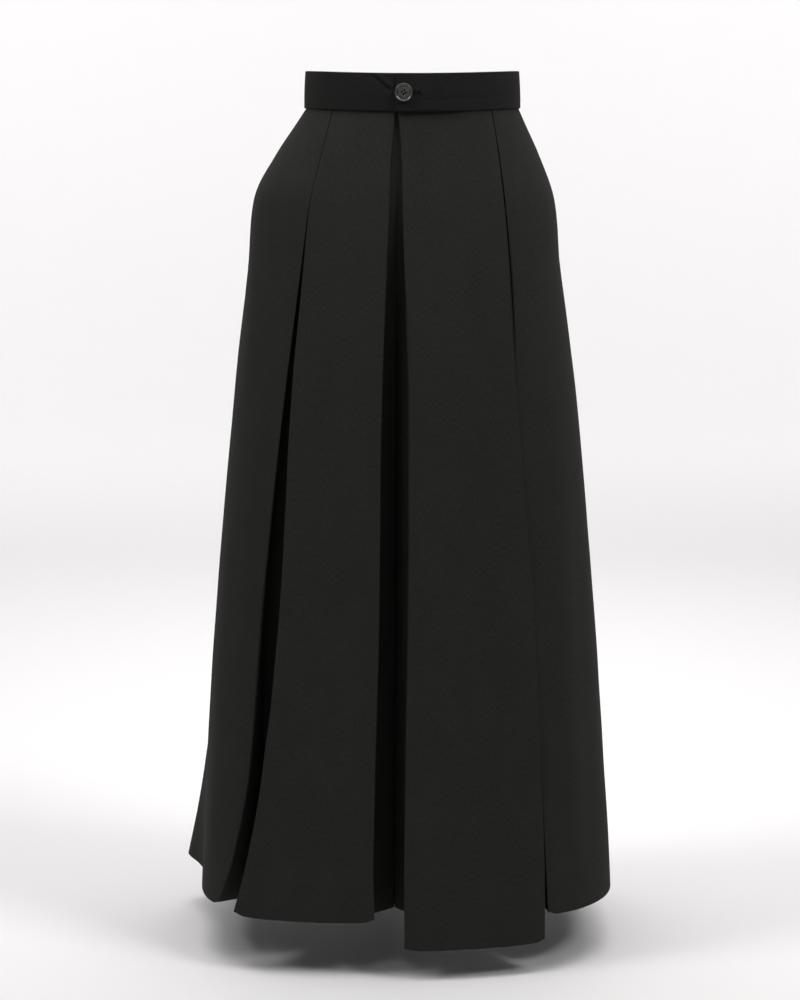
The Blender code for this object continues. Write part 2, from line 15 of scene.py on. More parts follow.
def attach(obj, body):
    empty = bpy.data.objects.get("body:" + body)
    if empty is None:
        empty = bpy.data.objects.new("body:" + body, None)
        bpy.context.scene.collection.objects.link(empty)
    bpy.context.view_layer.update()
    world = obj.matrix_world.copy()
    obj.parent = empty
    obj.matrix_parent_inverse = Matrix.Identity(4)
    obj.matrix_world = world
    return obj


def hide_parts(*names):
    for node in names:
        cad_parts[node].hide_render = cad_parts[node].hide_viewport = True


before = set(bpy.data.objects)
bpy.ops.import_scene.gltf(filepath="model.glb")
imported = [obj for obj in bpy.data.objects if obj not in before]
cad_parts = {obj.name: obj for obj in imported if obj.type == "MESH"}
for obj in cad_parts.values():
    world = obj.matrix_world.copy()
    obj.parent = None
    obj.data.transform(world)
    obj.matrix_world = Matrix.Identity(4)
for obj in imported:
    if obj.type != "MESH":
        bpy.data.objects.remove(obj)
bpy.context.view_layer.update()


def table(columns, *rows):
    """The rows of a table as dictionaries, by the names of its columns."""
    return [dict(zip(columns, row)) for row in rows]


# Cloth and seams. The top edge of the panels runs up inside the band.
CLOTH_WALL = 0.0012
SEAM_GAP = 0.0003
TOP_RISE = 0.0040
TOP_SHRINK = 0.9925
SHARP_FOLD = math.radians(58)
LEAST_MITRE = 0.6

# Hem: the layer turned up inside, the step at its top, and the rounded edge
HEM_FOLD = 0.0009
HEM_ALLOWANCE = 0.030
HEM_STEP = 0.0015
HEM_ROUND = 0.0007
HEM_EDGE = (0.0, 0.35, 0.65, 0.88, 1.0)
LEAST_HEM_EDGE = 0.02

# Waistband
BAND_WALL = 0.0020
BAND_HEIGHT = 0.044
BAND_DIP = 0.004
BAND_PROUD = 0.0009
BAND_FLARE = 0.0016
BAND_BELLY = 0.0005
BAND_WAVER = {"height": 0.0002, "along": 30, "up": 40, "seed": 3.7}
BAND_ROUND = 0.0013
BAND_ROUND_STEPS = 4
LEAST_BAND_EDGE = 0.08
BAND_END_STEPS = 3
LEAST_BAND_END = 0.15
LAP_END_X = -0.0185
LAP_START_X = 0.074
LAP_RISE_X = 0.040
UNDERLAP_END_X = 0.030
LAP_CLEARANCE = 0.0003
UNDERLAP_COVER = 0.004
BAND_STEPS = 620
BAND_ROWS = 36
CROWDING = 0.7

# Button, four holes, and its thread
BUTTON_X = -0.0098
BUTTON_Z = -0.0004
BUTTON_RADIUS = 0.0110
BUTTON_THICKNESS = 0.0034
BUTTON_DISH = 0.0007
BUTTON_HOLE_RADIUS = 0.00125
BUTTON_HOLE_REACH = 0.0025
BUTTON_TURN = math.radians(75)
BUTTON_SIDES = 96
BUTTON_SHARP = math.radians(40)
DRILL_SIDES = 24

# Section of the button, as shares of its radius and thickness: the underside, the rounded lip, the
# groove inside it and the flat middle
BUTTON_PROFILE = [
    (0.00, 0.00), (0.66, 0.00), (0.86, 0.08), (0.96, 0.24), (0.995, 0.44), (1.00, 0.60),
    (0.99, 0.76), (0.96, 0.90), (0.92, 0.98), (0.88, 1.00), (0.84, 0.97), (0.80, 0.88),
    (0.76, 0.76), (0.72, 0.68), (0.69, 0.66), (0.66, 0.68), (0.64, 0.75), (0.61, 0.79),
    (0.40, 0.79), (0.00, 0.79),
]

# Painted shade on the button, by shares of its radius: dark in its groove and round its edge
BUTTON_PAINTED_SHADE = [
    (0.0, 1.05), (0.62, 1.1), (0.66, 0.35), (0.71, 0.40), (0.76, 1.1), (0.905, 1.1), (0.935, 0.10),
]

# Thread over the button: it sinks into the holes past this share of its reach, and bows between
THREAD_RADIUS = 0.00013
THREAD_SIDES = 8
THREAD_STEPS = 12
THREAD_REACH = 0.80
THREAD_SINK = {"from": 0.62, "slope": 0.0090}
THREAD_BOW = {"first": 0.8, "more": 1.2}
THREAD_SPACING = 1.1

# Buttonhole: its slit runs along the band from under the button. The pull of the button opens its
# end, in three points of (x, height).
HOLE_START_X = -0.0135
HOLE_END_X = 0.0074
HOLE_HALF_WIDTH = 0.0013
HOLE_MOUTH = [(0.0069, -0.0023), (0.0078, 0.0016), (0.0107, -0.0043)]
# The slit and its opened end are drawn as near-black tubes of painted shade
SLIT_RADIUS = 0.00045
SLIT_SIDES = 6
SLIT_STEPS = 12
SLIT_LIFT = -0.00020
MOUTH_STEPS = 6
MOUTH_LIFT = -0.00005

# One stitch beside the slit: shares of the half width, and how far it stands off the band
HOLE_STITCH = [(0.22, 0.00005), (0.62, 0.00022), (1.0, 0.00002)]
HOLE_STITCH_RADIUS = 0.00015
HOLE_STITCH_SPACING = 0.00042

# Blind stitches above the hem, only where the cloth shows at least this much, and the bar tack
# across the end of a pocket mouth
STITCH_SIDES = 5
SHOWS = 0.9
HEM_STITCH = {"spacing": 0.0085, "reach": 0.0006, "lift": 0.00003, "arch": 2.2, "radius": 0.00013}
TACK = {"threads": 15, "spacing": 0.00026, "drop": 0.0018, "half": 0.004, "steps": 4}
TACK_LIFT = {"ends": 0.0002, "middle": 0.0003}
TACK_RADIUS = 0.00016

# Which side of the wearer each sign of x is
SIDE_NAMES = {-1: "right", 1: "left"}

# Heights of the named levels, from the waist seam down to the hem
LEVELS = {
    "waist": -0.0223,
    "high_hip": -0.075,
    "hip": -0.130,
    "seat": -0.200,
    "crotch": -0.360,
    "knee": -0.600,
    "shin": -0.800,
    "ankle": -0.900,
    "hem": -0.964,
}

# The outline of the trousers at each level: half widths to the wearer's right and left, depths to
# the front and back of the origin, and how square the front and back of that oval are
OUTLINE = {
    #               waist  h_hip  hip    seat   crotch knee   shin   ankle  hem
    "half_right":  (0.1264, 0.1605, 0.1870, 0.1960, 0.2150, 0.2362, 0.2505, 0.2560, 0.2590),
    "half_left":   (0.1268, 0.1500, 0.1690, 0.1775, 0.1985, 0.2205, 0.2350, 0.2420, 0.2455),
    "front":       (0.097, 0.107, 0.118, 0.129, 0.148, 0.169, 0.185, 0.192, 0.197),
    "back":        (0.097, 0.116, 0.134, 0.146, 0.156, 0.180, 0.200, 0.210, 0.216),
    "front_power": (2.00, 2.08, 2.16, 2.26, 2.45, 2.70, 2.88, 2.95, 3.00),
    "back_power":  (2.00, 2.08, 2.14, 2.20, 2.30, 2.45, 2.60, 2.70, 2.75),
}

# Where each fold edge of the front lies across the trousers at each level
FOLD_X = {
    #                  waist    h_hip    hip      seat     crotch   knee     shin     ankle    hem
    "right_side":    (-0.0937, -0.1072, -0.1206, -0.1300, -0.1505, -0.1769, -0.1934, -0.2129, -0.2320),
    "right_outer":   (-0.0924, -0.1059, -0.1192, -0.1266, -0.1405, -0.1518, -0.1730, -0.1900, -0.2040),
    "right_centre":  (-0.0207, -0.0260, -0.0284, -0.0313, -0.0366, -0.0393, -0.0442, -0.0455, -0.0443),
    "left_centre":   (-0.0160, -0.0116, -0.0100, -0.0079, 0.0000, -0.0020, -0.0072, -0.0092, -0.0092),
    "left_outer":    (0.0920, 0.1007, 0.1074, 0.1134, 0.1217, 0.1408, 0.1518, 0.1560, 0.1570),
    "left_side":     (0.0934, 0.1021, 0.1088, 0.1148, 0.1232, 0.1428, 0.1542, 0.1598, 0.1636),
}

# The pleats at each level: spacing of the folded layers, depth of each recess behind the panels, and
# how far each return reaches sideways behind its own panel (less than nothing: into the recess). The
# right and left tucks are those of the centre pleat.
PLEATS = {
    #                     waist   h_hip   hip     seat    crotch  knee    shin    ankle   hem
    "layer":            (0.0018, 0.0020, 0.0026, 0.0036, 0.0042, 0.0050, 0.0055, 0.0055, 0.0050),
    "right_depth":      (0.0036, 0.0042, 0.0070, 0.0150, 0.0230, 0.0320, 0.0460, 0.0620, 0.0730),
    "left_depth":       (0.0072, 0.0084, 0.0115, 0.0160, 0.0240, 0.0330, 0.0400, 0.0430, 0.0450),
    "centre_depth":     (0.0036, 0.0042, 0.0060, 0.0110, 0.0200, 0.0260, 0.0290, 0.0300, 0.0300),
    "bottom_depth":     (0.0036, 0.0044, 0.0068, 0.0150, 0.0420, 0.0560, 0.0600, 0.0600, 0.0580),
    "right_side_tuck":  (0.0260, 0.0270, 0.0270, 0.0260, 0.0260, 0.0260, 0.0240, 0.0200, 0.0160),
    "right_outer_tuck": (0.0260, 0.0260, 0.0190, 0.0050, -0.0060, -0.0090, -0.0070, -0.0070, -0.0060),
    "left_side_tuck":   (0.0260, 0.0270, 0.0280, 0.0280, 0.0280, 0.0270, 0.0250, 0.0230, 0.0200),
    "left_outer_tuck":  (0.0260, 0.0270, 0.0280, 0.0280, 0.0280, 0.0270, 0.0250, 0.0230, 0.0200),
    "right_tuck":       (0.0240, 0.0220, 0.0180, 0.0140, 0.0100, 0.0090, 0.0090, 0.0080, 0.0060),
    "left_tuck":        (0.0240, 0.0180, 0.0110, 0.0030, -0.0110, -0.0090, -0.0020, 0.0040, 0.0060),
}

# How far the panels stand forward of the outline at their fold edges
SWING = {
    "right_side":    (0.0, 0.0, 0.0, 0.0, 0.000, 0.000, 0.000, 0.000, 0.000),
    "left_side":     (0.0, 0.0, 0.0, 0.0, -0.001, -0.003, -0.005, -0.006, -0.006),
    "right_outer":   (0.0, 0.0, 0.0, 0.0, 0.002, 0.006, 0.009, 0.011, 0.013),
    "right_centre":  (0.0, 0.0, 0.001, 0.002, 0.003, 0.004, 0.004, 0.004, 0.004),
    "left_centre":   (0.0, 0.0, 0.001, 0.002, 0.005, 0.010, 0.014, 0.017, 0.019),
    "left_outer":    (0.0, 0.0, 0.0, 0.001, 0.003, 0.003, 0.002, 0.001, 0.000),
}

# At each level: how much lower the wearer's left main panel hangs, where the centre seams lie
# across the trousers, how far from its seam the back turns in, and how deep that seam lies
SEAMS = {
    "drop": (0.0, 0.0, 0.0, 0.0, 0.0, 0.004, 0.012, 0.020, 0.030),
    "front_seam": (-0.0182, -0.0184, -0.0188, -0.0192, -0.0200, -0.0206, -0.0212, -0.0215, -0.0216),
    "back_seam": (-0.001, -0.002, -0.003, -0.004, -0.006, -0.007, -0.008, -0.008, -0.008),
    "back_edge": (0.003, 0.003, 0.003, 0.004, 0.014, 0.020, 0.023, 0.025, 0.026),
    "back_recess": (0.0, 0.0, 0.0, 0.001, 0.014, 0.028, 0.038, 0.042, 0.045),
}

# Heights where the crotch curve starts at the front and back, and how far behind the origin the
# seams of the two sides meet
FRONT_CURVE_Z = -0.250
BACK_CURVE_Z = -0.200
CROTCH_Y = 0.018

# Half the distance between the legs' inside walls, and how far these bow towards each other
LEG_GAP = CLOTH_WALL / 2 + SEAM_GAP / 2
LEG_EASE = 0.0001

# How the back's corner at its centre is rounded, and how soon its soft folds grow from the side
BACK_CUT = {"least": 0.001, "share": 0.4}
BACK_FOLD_GROWTH = 9

# How corners are rounded: shares of an edge or of a pleat's opening, and the most that is cut off.
# A return turns sideways at a share of its own length, and a hooked one at shares of its tuck and
# depth. OPEN_DEPTH is how deep a pleat is when it stands fully open.
CORNER_CUT = 0.42
OPEN_CUT = 0.2
SOFT_CUT = 0.010
LEG_CUT = {"most": 0.0015, "share": 0.3}
RETURN_TURN = 0.72
HOOKED_TURN = {"tuck": 0.3, "depth": 0.75}
OPEN_DEPTH = 0.012

# The hem's corners at the folds are rounded up. The side panel swings only over its front part.
HEM_CORNER = {"rise": 0.0035, "reach": 0.0075, "start": 0.045}
SIDE_SWING = {"slope": 1.6, "wait": 0.4}

# Soft folds that hang round the back. The angle is from the back centre, plus to the wearer's left,
# and each fold grows from its start height to its full height at the hem
BACK_FOLDS = table(
    ("angle", "spread", "height", "start", "growth"),
    (-71, 11, 0.038, -0.46, 2.7),
    (-40, 9, 0.014, -0.34, 1.3),
    (-20, 8, 0.012, -0.40, 1.2),
    (16, 8, 0.012, -0.36, 1.2),
    (37, 9, 0.018, -0.30, 1.3),
    (60, 10, 0.015, -0.42, 1.4),
)

# Pocket mouths in the side seams
POCKET_TOP = -0.045
POCKET_BOTTOM = -0.205
POCKET_GAPE = 0.0028
POCKET_FADE = 6
FACING_BOTTOM = -0.251
FACING_GAP = 0.0005

# Creases in the cloth: where each one starts and ends across (x0, x1) and up (up0, up1), how wide
# it is, and how far it stands out (or sinks in, less than nothing). Each goes on past its ends by a
# share of its length, and fades out there. The first table is for the front, the second for the back.
CREASE_END = 0.15
CREASE_FADE = 0.4
CREASE_COLUMNS = ("x0", "x1", "up0", "up1", "width", "height")
FRONT_CREASES = table(
    CREASE_COLUMNS,
    (0.129, 0.126, -0.030, -0.125, 0.0045, -0.0016),
    (0.119, 0.117, -0.040, -0.150, 0.0070, 0.0012),
    (-0.100, -0.106, -0.330, -0.640, 0.0130, -0.0024),
    (-0.078, -0.082, -0.240, -0.560, 0.0120, 0.0014),
    (-0.178, -0.196, -0.090, -0.340, 0.0080, 0.0016),
    (-0.155, -0.166, -0.110, -0.420, 0.0090, -0.0014),
    (-0.055, -0.066, -0.620, -0.960, 0.0150, 0.0016),
    (-0.150, -0.158, -0.700, -0.960, 0.0140, -0.0018),
    (0.052, 0.060, -0.180, -0.520, 0.0150, 0.0012),
    (0.080, 0.093, -0.380, -0.960, 0.0160, -0.0016),
    (0.034, 0.036, -0.560, -0.960, 0.0140, 0.0014),
    (0.168, 0.196, -0.300, -0.960, 0.0130, 0.0022),
    (0.190, 0.222, -0.420, -0.960, 0.0110, -0.0020),
    (-0.215, -0.245, -0.480, -0.960, 0.0090, 0.0022),
    (0.0030, 0.0052, -0.270, -0.600, 0.0012, -0.0006),
)
BACK_CREASES = table(
    CREASE_COLUMNS,
    (-0.118, -0.030, -0.150, -0.262, 0.0100, -0.0020),
    (0.128, 0.034, -0.140, -0.272, 0.0110, -0.0022),
    (-0.090, -0.104, -0.300, -0.700, 0.0150, 0.0026),
    (-0.060, -0.052, -0.270, -0.600, 0.0130, -0.0020),
    (0.070, 0.082, -0.290, -0.680, 0.0150, 0.0026),
    (0.104, 0.128, -0.320, -0.760, 0.0120, -0.0022),
    (0.046, 0.040, -0.350, -0.800, 0.0120, -0.0018),
    (-0.150, -0.178, -0.240, -0.640, 0.0130, -0.0022),
    (0.150, 0.176, -0.220, -0.560, 0.0130, 0.0020),
    (-0.128, -0.136, -0.200, -0.420, 0.0100, 0.0016),
)

# Uneven hang of the whole cloth, which settles below the band
SETTLING = 0.09
FRONT_SEED = 2.1
BACK_SEED = 7.3
UNEVEN = table(
    ("height", "across", "down", "seed"),
    (0.0016, 9.0, 2.3, 0.0),
    (0.00035, 46.0, 14.0, 11.0),
)

# Drag lines in the band, with heights from its middle
BAND_CREASES = table(
    CREASE_COLUMNS,
    (-0.049, -0.036, 0.0195, 0.0130, 0.0012, -0.0012),
    (-0.038, -0.024, 0.0140, 0.0010, 0.0011, -0.0020),
    (-0.042, -0.022, 0.0200, 0.0050, 0.0026, 0.0009),
    (0.0270, 0.0270, 0.0060, -0.0080, 0.0011, -0.0003),
    (0.0315, 0.0315, 0.0065, -0.0085, 0.0011, -0.0003),
    (0.0140, 0.1200, -0.0090, -0.0060, 0.0018, -0.0005),
)

# Fineness of the walls
ROW_STEP = 0.0080
CURVE_STEPS = 14
CORNER_POINTS = 6
SIDE_STATIONS = 26
FRONT_STATIONS = 38
BACK_STATIONS = 84
UNDERLAY_STATIONS = 8
INSIDE_STATIONS = 14
FACING_STATIONS = 8
FACING_REACH = {"back": 0.032, "front": 0.027}

# Twill: ribs across the grain, yarns along it and patches over the whole piece
RIBS_PER_METRE = 1050.0
RIB_SLANT = 0.55
YARN_STRETCH = (900.0, 220.0, 1.0)
PATCH_STRETCH = (34.0, 34.0, 15.0)
TWILL_SHARES = {"ribs": 0.14, "yarn": 0.85, "patches": 0.20}
SHEEN_TINT = (1.0, 1.0, 0.95, 1.0)

# Camera and room
CAMERA_PLACE = (-0.0145, -3.097, -0.042)
CAMERA_PITCH = 8.26
CAMERA_LENS = 92.05
CAMERA_SENSOR = 36.0
FLOOR_Z = -1.030
SWEEP = {"half": 9.0, "front": -7.0, "corner": 5.0, "radius": 3.0, "top": 9.0, "steps": 24}

# Soft boxes: one on each side of the trousers, and the others on the wall and floor behind. The
# spread is in degrees.
LIGHTS = table(
    ("name", "place", "target", "size", "spread", "power"),
    ("right_box", (2.2, -1.5, 2.5), (0, 0, 0.65), (1.2, 1.2), 64, 11.3),
    ("left_box", (-2.6, -1.0, 2.5), (0, 0, 0.65), (1.2, 1.2), 58, 9.0),
    ("wall_left", (-3.4, 3.6, 2.9), (0, 8, 2.0), (2.0, 2.0), 180, 206),
    ("wall_right", (3.4, 3.6, 2.9), (0, 8, 2.0), (2.0, 2.0), 180, 206),
    ("floor_top", (0, 0.1, 4.0), (0, -0.1, -1.0), (5.4, 3.6), 100, 77),
    ("back_box", (0, 2.6, 1.3), (0, 0.0, -1.0), (4.0, 0.8), 110, 9),
)
WORLD_STRENGTH = 0.03


def at_level(row, z):
    """The value of a table row at height z, by a smooth curve that never overshoots its levels."""
    heights = list(LEVELS.values())
    if z >= heights[0]:
        return row[0]
    if z <= heights[-1]:
        return row[-1]
    i = max(n for n, height in enumerate(heights) if height >= z)
    steps = [(row[n + 1] - row[n]) / (heights[n + 1] - heights[n]) for n in range(len(row) - 1)]
    slopes = [steps[0]]
    for before, after in zip(steps, steps[1:]):
        slopes.append(2 * before * after / (before + after) if before * after > 0 else 0.0)
    slopes.append(steps[-1])
    span = heights[i + 1] - heights[i]
    t = (z - heights[i]) / span
    return (
        (2 * t**3 - 3 * t**2 + 1) * row[i]
        + (t**3 - 2 * t**2 + t) * span * slopes[i]
        + (3 * t**2 - 2 * t**3) * row[i + 1]
        + (t**3 - t**2) * span * slopes[i + 1]
    )


def eased(t):
    """0 to 1 with level ends."""
    t = min(max(t, 0.0), 1.0)
    return t * t * (3 - 2 * t)


class Oval:
    """The plan outline of the trousers at one height, measured by arc length from the front centre."""

    SAMPLES = 160

    def __init__(self, z):
        self.z = z
        self.size = {name: at_level(row, z) for name, row in (OUTLINE | PLEATS | SEAMS).items()}
        self.swing = {name: at_level(row, z) for name, row in SWING.items()}
        self.track = {}
        for side in (-1, 1):
            turns = [math.pi * n / self.SAMPLES for n in range(self.SAMPLES + 1)]
            points = [self.point_at_turn(side * turn) for turn in turns]
            lengths = [0.0]
            for a, b in zip(points, points[1:]):
                lengths.append(lengths[-1] + (b - a).length)
            self.track[side] = (turns, lengths)
        self.fold = {name: self.length_at_x(at_level(row, z)) for name, row in FOLD_X.items()}

    def shape(self, side, front):
        end = "front" if front else "back"
        return self.size[f"half_{SIDE_NAMES[side]}"], self.size[end], self.size[f"{end}_power"]

    def point_at_turn(self, turn):
        """turn is 0 at the front centre, half pi at the wearer's left side and pi at the back."""
        across, along = math.sin(turn), math.cos(turn)
        half, deep, power = self.shape(1 if across >= 0 else -1, along >= 0)
        x = math.copysign(half * abs(across) ** (2 / power), across)
        y = math.copysign(deep * abs(along) ** (2 / power), -along)
        return Vector((x, y))

    def outward(self, turn):
        across, along = math.sin(turn), math.cos(turn)
        half, deep, power = self.shape(1 if across >= 0 else -1, along >= 0)
        share = 2 * (power - 1) / power
        x = math.copysign(abs(across) ** share / half, across)
        y = math.copysign(abs(along) ** share / deep, -along)
        return Vector((x, y)).normalized()

    def turn_at(self, length):
        side = 1 if length >= 0 else -1
        turns, lengths = self.track[side]
        reach = min(abs(length), lengths[-1])
        high = min(bisect_right(lengths, reach), len(lengths) - 1)
        low = high - 1
        share = (reach - lengths[low]) / (lengths[high] - lengths[low])
        return side * (turns[low] + share * (turns[high] - turns[low]))

    def length_at_turn(self, turn):
        lengths = self.track[1 if turn >= 0 else -1][1]
        place = abs(turn) / math.pi * self.SAMPLES
        n = min(int(place), self.SAMPLES - 1)
        length = lengths[n] + (place - n) * (lengths[n + 1] - lengths[n])
        return math.copysign(length, turn)

    def turn_at_x(self, x, front):
        half, _, power = self.shape(1 if x >= 0 else -1, front)
        return math.asin(min(abs(x) / half, 1.0) ** (power / 2))

    def length_at_x(self, x):
        """Arc length of the front point at x."""
        return self.length_at_turn(math.copysign(self.turn_at_x(x, True), x))

    def side_length(self, side):
        return self.length_at_turn(side * math.pi / 2)

    def back_length(self, side, x):
        """Arc length, round the given side, of the back point at x."""
        turn = math.pi - self.turn_at_x(x, False)
        if (x >= 0) == (side > 0):
            return self.length_at_turn(side * turn)
        return side * (2 * self.length_at_turn(math.pi) - self.length_at_turn(turn))

    def folded_out(self, turn):
        """How far the back's soft folds stand out at this turn and height."""
        angle = math.degrees(math.copysign(math.pi, turn) - turn)
        total = 0.0
        for fold in BACK_FOLDS:
            grown = (fold["start"] - self.z) / (fold["start"] - LEVELS["hem"])
            if grown > 0:
                away = (angle - fold["angle"]) / fold["spread"]
                total += fold["height"] * grown ** fold["growth"] * math.exp(-away * away)
        return total

    def at(self, length, depth=0.0):
        """The point at this arc length, depth inside the outline, with the waist's dip in its height."""
        turn = self.turn_at(length)
        flat = self.point_at_turn(turn) - self.outward(turn) * depth
        front = max(math.cos(turn), 0.0)
        fade = eased((self.z - LEVELS["seat"]) / (LEVELS["waist"] - LEVELS["seat"]))
        return Vector((flat.x, flat.y, self.z + BAND_DIP * (1 - front**2) * fade))


OVALS = {}


def oval_at(z):
    """The outline at height z, worked out once."""
    if z not in OVALS:
        OVALS[z] = Oval(z)
    return OVALS[z]


def softened(corners):
    """Points along a plan path, as (point, showing). Each corner is (point, cut, showing): its tip is
    rounded off from that far along both of its edges. showing is 1 on the panels' faces and 0 deep
    in a pleat."""
    points = []
    for n, (corner, cut, showing) in enumerate(corners):
        if not cut:
            points.append((corner, showing))
            continue
        before = corners[n - 1][0] - corner
        after = corners[n + 1][0] - corner
        start = corner + before.normalized() * min(cut, CORNER_CUT * before.length)
        end = corner + after.normalized() * min(cut, CORNER_CUT * after.length)
        for step in range(CORNER_POINTS):
            t = step / (CORNER_POINTS - 1)
            point = start * (1 - t) ** 2 + corner * (2 * t * (1 - t)) + end * t**2
            points.append((point, showing))
    return points


def soft_cut(layer, depth):
    """How much the corners at the bottom of a recess are rounded off: more where it stands open."""
    open_share = max(depth - 2 * layer, 0.0) * OPEN_CUT
    return min(CORNER_CUT * layer + open_share, SOFT_CUT)


def hem_lift(z, away):
    """How far the hem's corner is rounded up, this far away from a fold edge."""
    low = eased((LEVELS["hem"] + HEM_CORNER["start"] - z) / HEM_CORNER["start"])
    return HEM_CORNER["rise"] * low * math.exp(-((away / HEM_CORNER["reach"]) ** 2))


def crowded(t):
    """0 to 1, with the steps closer together near both ends."""
    return t - CROWDING * math.sin(2 * math.pi * t) / (2 * math.pi)


def pleat_side(oval, length, facing, tuck, depth, layer, forward, drop=0.0, hooked=False):
    """Corners of one fold and its return, from the panel's face to the bottom of the recess. A hooked
    return goes straight in before it turns sideways."""
    tucked = length - facing * tuck
    drop -= hem_lift(oval.z, 0.0)
    fold_tip = oval.at(length, -forward)
    bottom = oval.at(tucked, depth)
    fold_tip.z -= drop
    straight = bottom - fold_tip
    flat_back = oval.at(length, layer - forward)
    flat_back.z -= drop
    flat_turn = oval.at(tucked, depth - layer)
    opened = eased((depth - 2 * layer) / OPEN_DEPTH)
    fold_back = flat_back.lerp(fold_tip + straight.normalized() * layer, opened)
    turn = fold_tip + straight * RETURN_TURN
    if hooked:
        turn = oval.at(length - facing * tuck * HOOKED_TURN["tuck"], depth * HOOKED_TURN["depth"])
    shallow = flat_turn.lerp(turn, opened)
    soft = soft_cut(layer, depth)
    return [
        (fold_tip, CORNER_CUT * layer, 1.0),
        (fold_back, CORNER_CUT * layer, 0.8),
        (shallow, soft, 0.1),
        (bottom, soft, 0.0),
    ]


def pocket_gape(z):
    mouth = (z - POCKET_BOTTOM) / (POCKET_TOP - POCKET_BOTTOM)
    return POCKET_GAPE * math.sin(math.pi * mouth) if 0 < mouth < 1 else 0.0


def side_front_path(z, side):
    """From the side seam round the side panel, into the outer pleat, to the seam in its recess."""
    oval = oval_at(z)
    name = SIDE_NAMES[side]
    layer, depth, tuck = (oval.size[key] for key in ("layer", f"{name}_depth", f"{name}_side_tuck"))
    fold = oval.fold[f"{name}_side"]
    forward = oval.swing[f"{name}_side"]
    seam = oval.side_length(side)
    gape = pocket_gape(z)
    corners = [(oval.at(seam, -gape), 0.0, 1.0)]
    for n in range(1, SIDE_STATIONS):
        t = crowded(n / SIDE_STATIONS)
        swung = eased(SIDE_SWING["slope"] * t - SIDE_SWING["wait"])
        stand = forward * swung + gape * (1 - t) ** POCKET_FADE
        point = oval.at(seam + (fold - seam) * t, -stand)
        point.z += hem_lift(z, abs(fold - seam) * (1 - t))
        corners.append((point, 0.0, 1.0))
    soft = soft_cut(layer, depth)
    corners += pleat_side(oval, fold, -side, tuck, depth, layer, forward)
    end = oval.fold[f"{name}_outer"] - side * oval.size[f"{name}_outer_tuck"]
    first, last = fold + side * (tuck - soft), end + side * (soft + SEAM_GAP)
    for n in range(1, UNDERLAY_STATIONS + 1):
        corners.append((oval.at(first + (last - first) * n / UNDERLAY_STATIONS, depth), 0.0, 0.0))
    points = softened(corners)
    return points, len(points)


def front_path(z, side):
    """From the seam in the outer pleat's recess, over the main panel, into the centre pleat and, below
    the crotch curve, back along the inside of the leg. Also how many points come before that."""
    oval = oval_at(z)
    name = SIDE_NAMES[side]
    layer, depth, tuck = (oval.size[key] for key in ("layer", f"{name}_depth", f"{name}_outer_tuck"))
    outer, centre = oval.fold[f"{name}_outer"], oval.fold[f"{name}_centre"]
    forward = oval.swing[f"{name}_outer"], oval.swing[f"{name}_centre"]
    drop = oval.size["drop"] if side > 0 else 0.0
    start = oval.at(outer - side * (tuck - soft_cut(layer, depth)), depth)
    pleat = pleat_side(oval, outer, side, tuck, depth, layer, forward[0], drop)
    corners = [(start, 0.0, 0.0)] + pleat[::-1]
    for n in range(1, FRONT_STATIONS):
        t = crowded(n / FRONT_STATIONS)
        stand = forward[0] + (forward[1] - forward[0]) * t
        point = oval.at(outer + (centre - outer) * t, -stand)
        point.z -= drop - hem_lift(z, abs(centre - outer) * min(t, 1 - t))
        corners.append((point, 0.0, 1.0))
    tuck, depth = oval.size[f"{name}_tuck"], oval.size["centre_depth"]
    corners += pleat_side(oval, centre, -side, tuck, depth, layer, forward[1], drop, side > 0)
    seam = oval.at(oval.length_at_x(oval.size["front_seam"]), oval.size["bottom_depth"])
    return inner_wall(z, side, corners, seam, FRONT_CURVE_Z, -1)


def back_path(z, side):
    """From the side seam round the back to the centre seam and, below the crotch curve, forward along
    the inside of the leg."""
    oval = oval_at(z)
    start = oval.side_length(side)
    seam_x, recess = oval.size["back_seam"], oval.size["back_recess"]
    edge = oval.back_length(side, seam_x + side * oval.size["back_edge"])
    corners = []
    for n in range(BACK_STATIONS):
        length = start + (edge - start) * n / BACK_STATIONS
        out = oval.folded_out(oval.turn_at(length)) * eased(BACK_FOLD_GROWTH * n / BACK_STATIONS)
        corners.append((oval.at(length, -out), 0.0, 1.0))
    cut = min(SOFT_CUT, BACK_CUT["least"] + BACK_CUT["share"] * recess)
    corners.append((oval.at(edge), cut, 0.8))
    seam = oval.at(oval.back_length(side, seam_x), recess)
    return inner_wall(z, side, corners, seam, BACK_CURVE_Z, 1)


def inner_wall(z, side, corners, seam, curve_z, front_or_back):
    """Ends a path at the centre seam, or below the crotch curve turns it along the inside of the leg."""
    edge_point = seam.copy()
    if z >= curve_z - 1e-6:
        edge_point.x += side * SEAM_GAP / 2
        points = softened(corners + [(edge_point, 0.0, 0.0)])
        before = len(points)
        return points + [(edge_point, 0.0)] * (CORNER_POINTS - 1 + INSIDE_STATIONS), before
    fall = min((curve_z - z) / (curve_z - LEVELS["crotch"]), 1.0)
    crotch_x = (oval_at(z).size["front_seam"] + oval_at(z).size["back_seam"]) / 2
    inseam = Vector((crotch_x, CROTCH_Y + front_or_back * SEAM_GAP / 2, z))
    edge = edge_point.lerp(inseam, 1 - math.sqrt(1 - fall * fall))
    edge_point.x += side * (LEG_GAP + LEG_EASE)
    edge.x += side * LEG_GAP
    cut = min(LEG_CUT["most"], LEG_CUT["share"] * (edge - edge_point).length)
    turned = softened(corners + [(edge_point, cut, 0.0), (edge, 0.0, 0.0)])[:-1]
    before = len(turned) - CORNER_POINTS + 1
    start = turned[-1][0]
    for n in range(1, INSIDE_STATIONS + 1):
        t = n / INSIDE_STATIONS
        point = start.lerp(edge, t)
        point.x += side * LEG_EASE * 4 * t * (1 - t)
        turned.append((point, 0.0))
    return turned, before


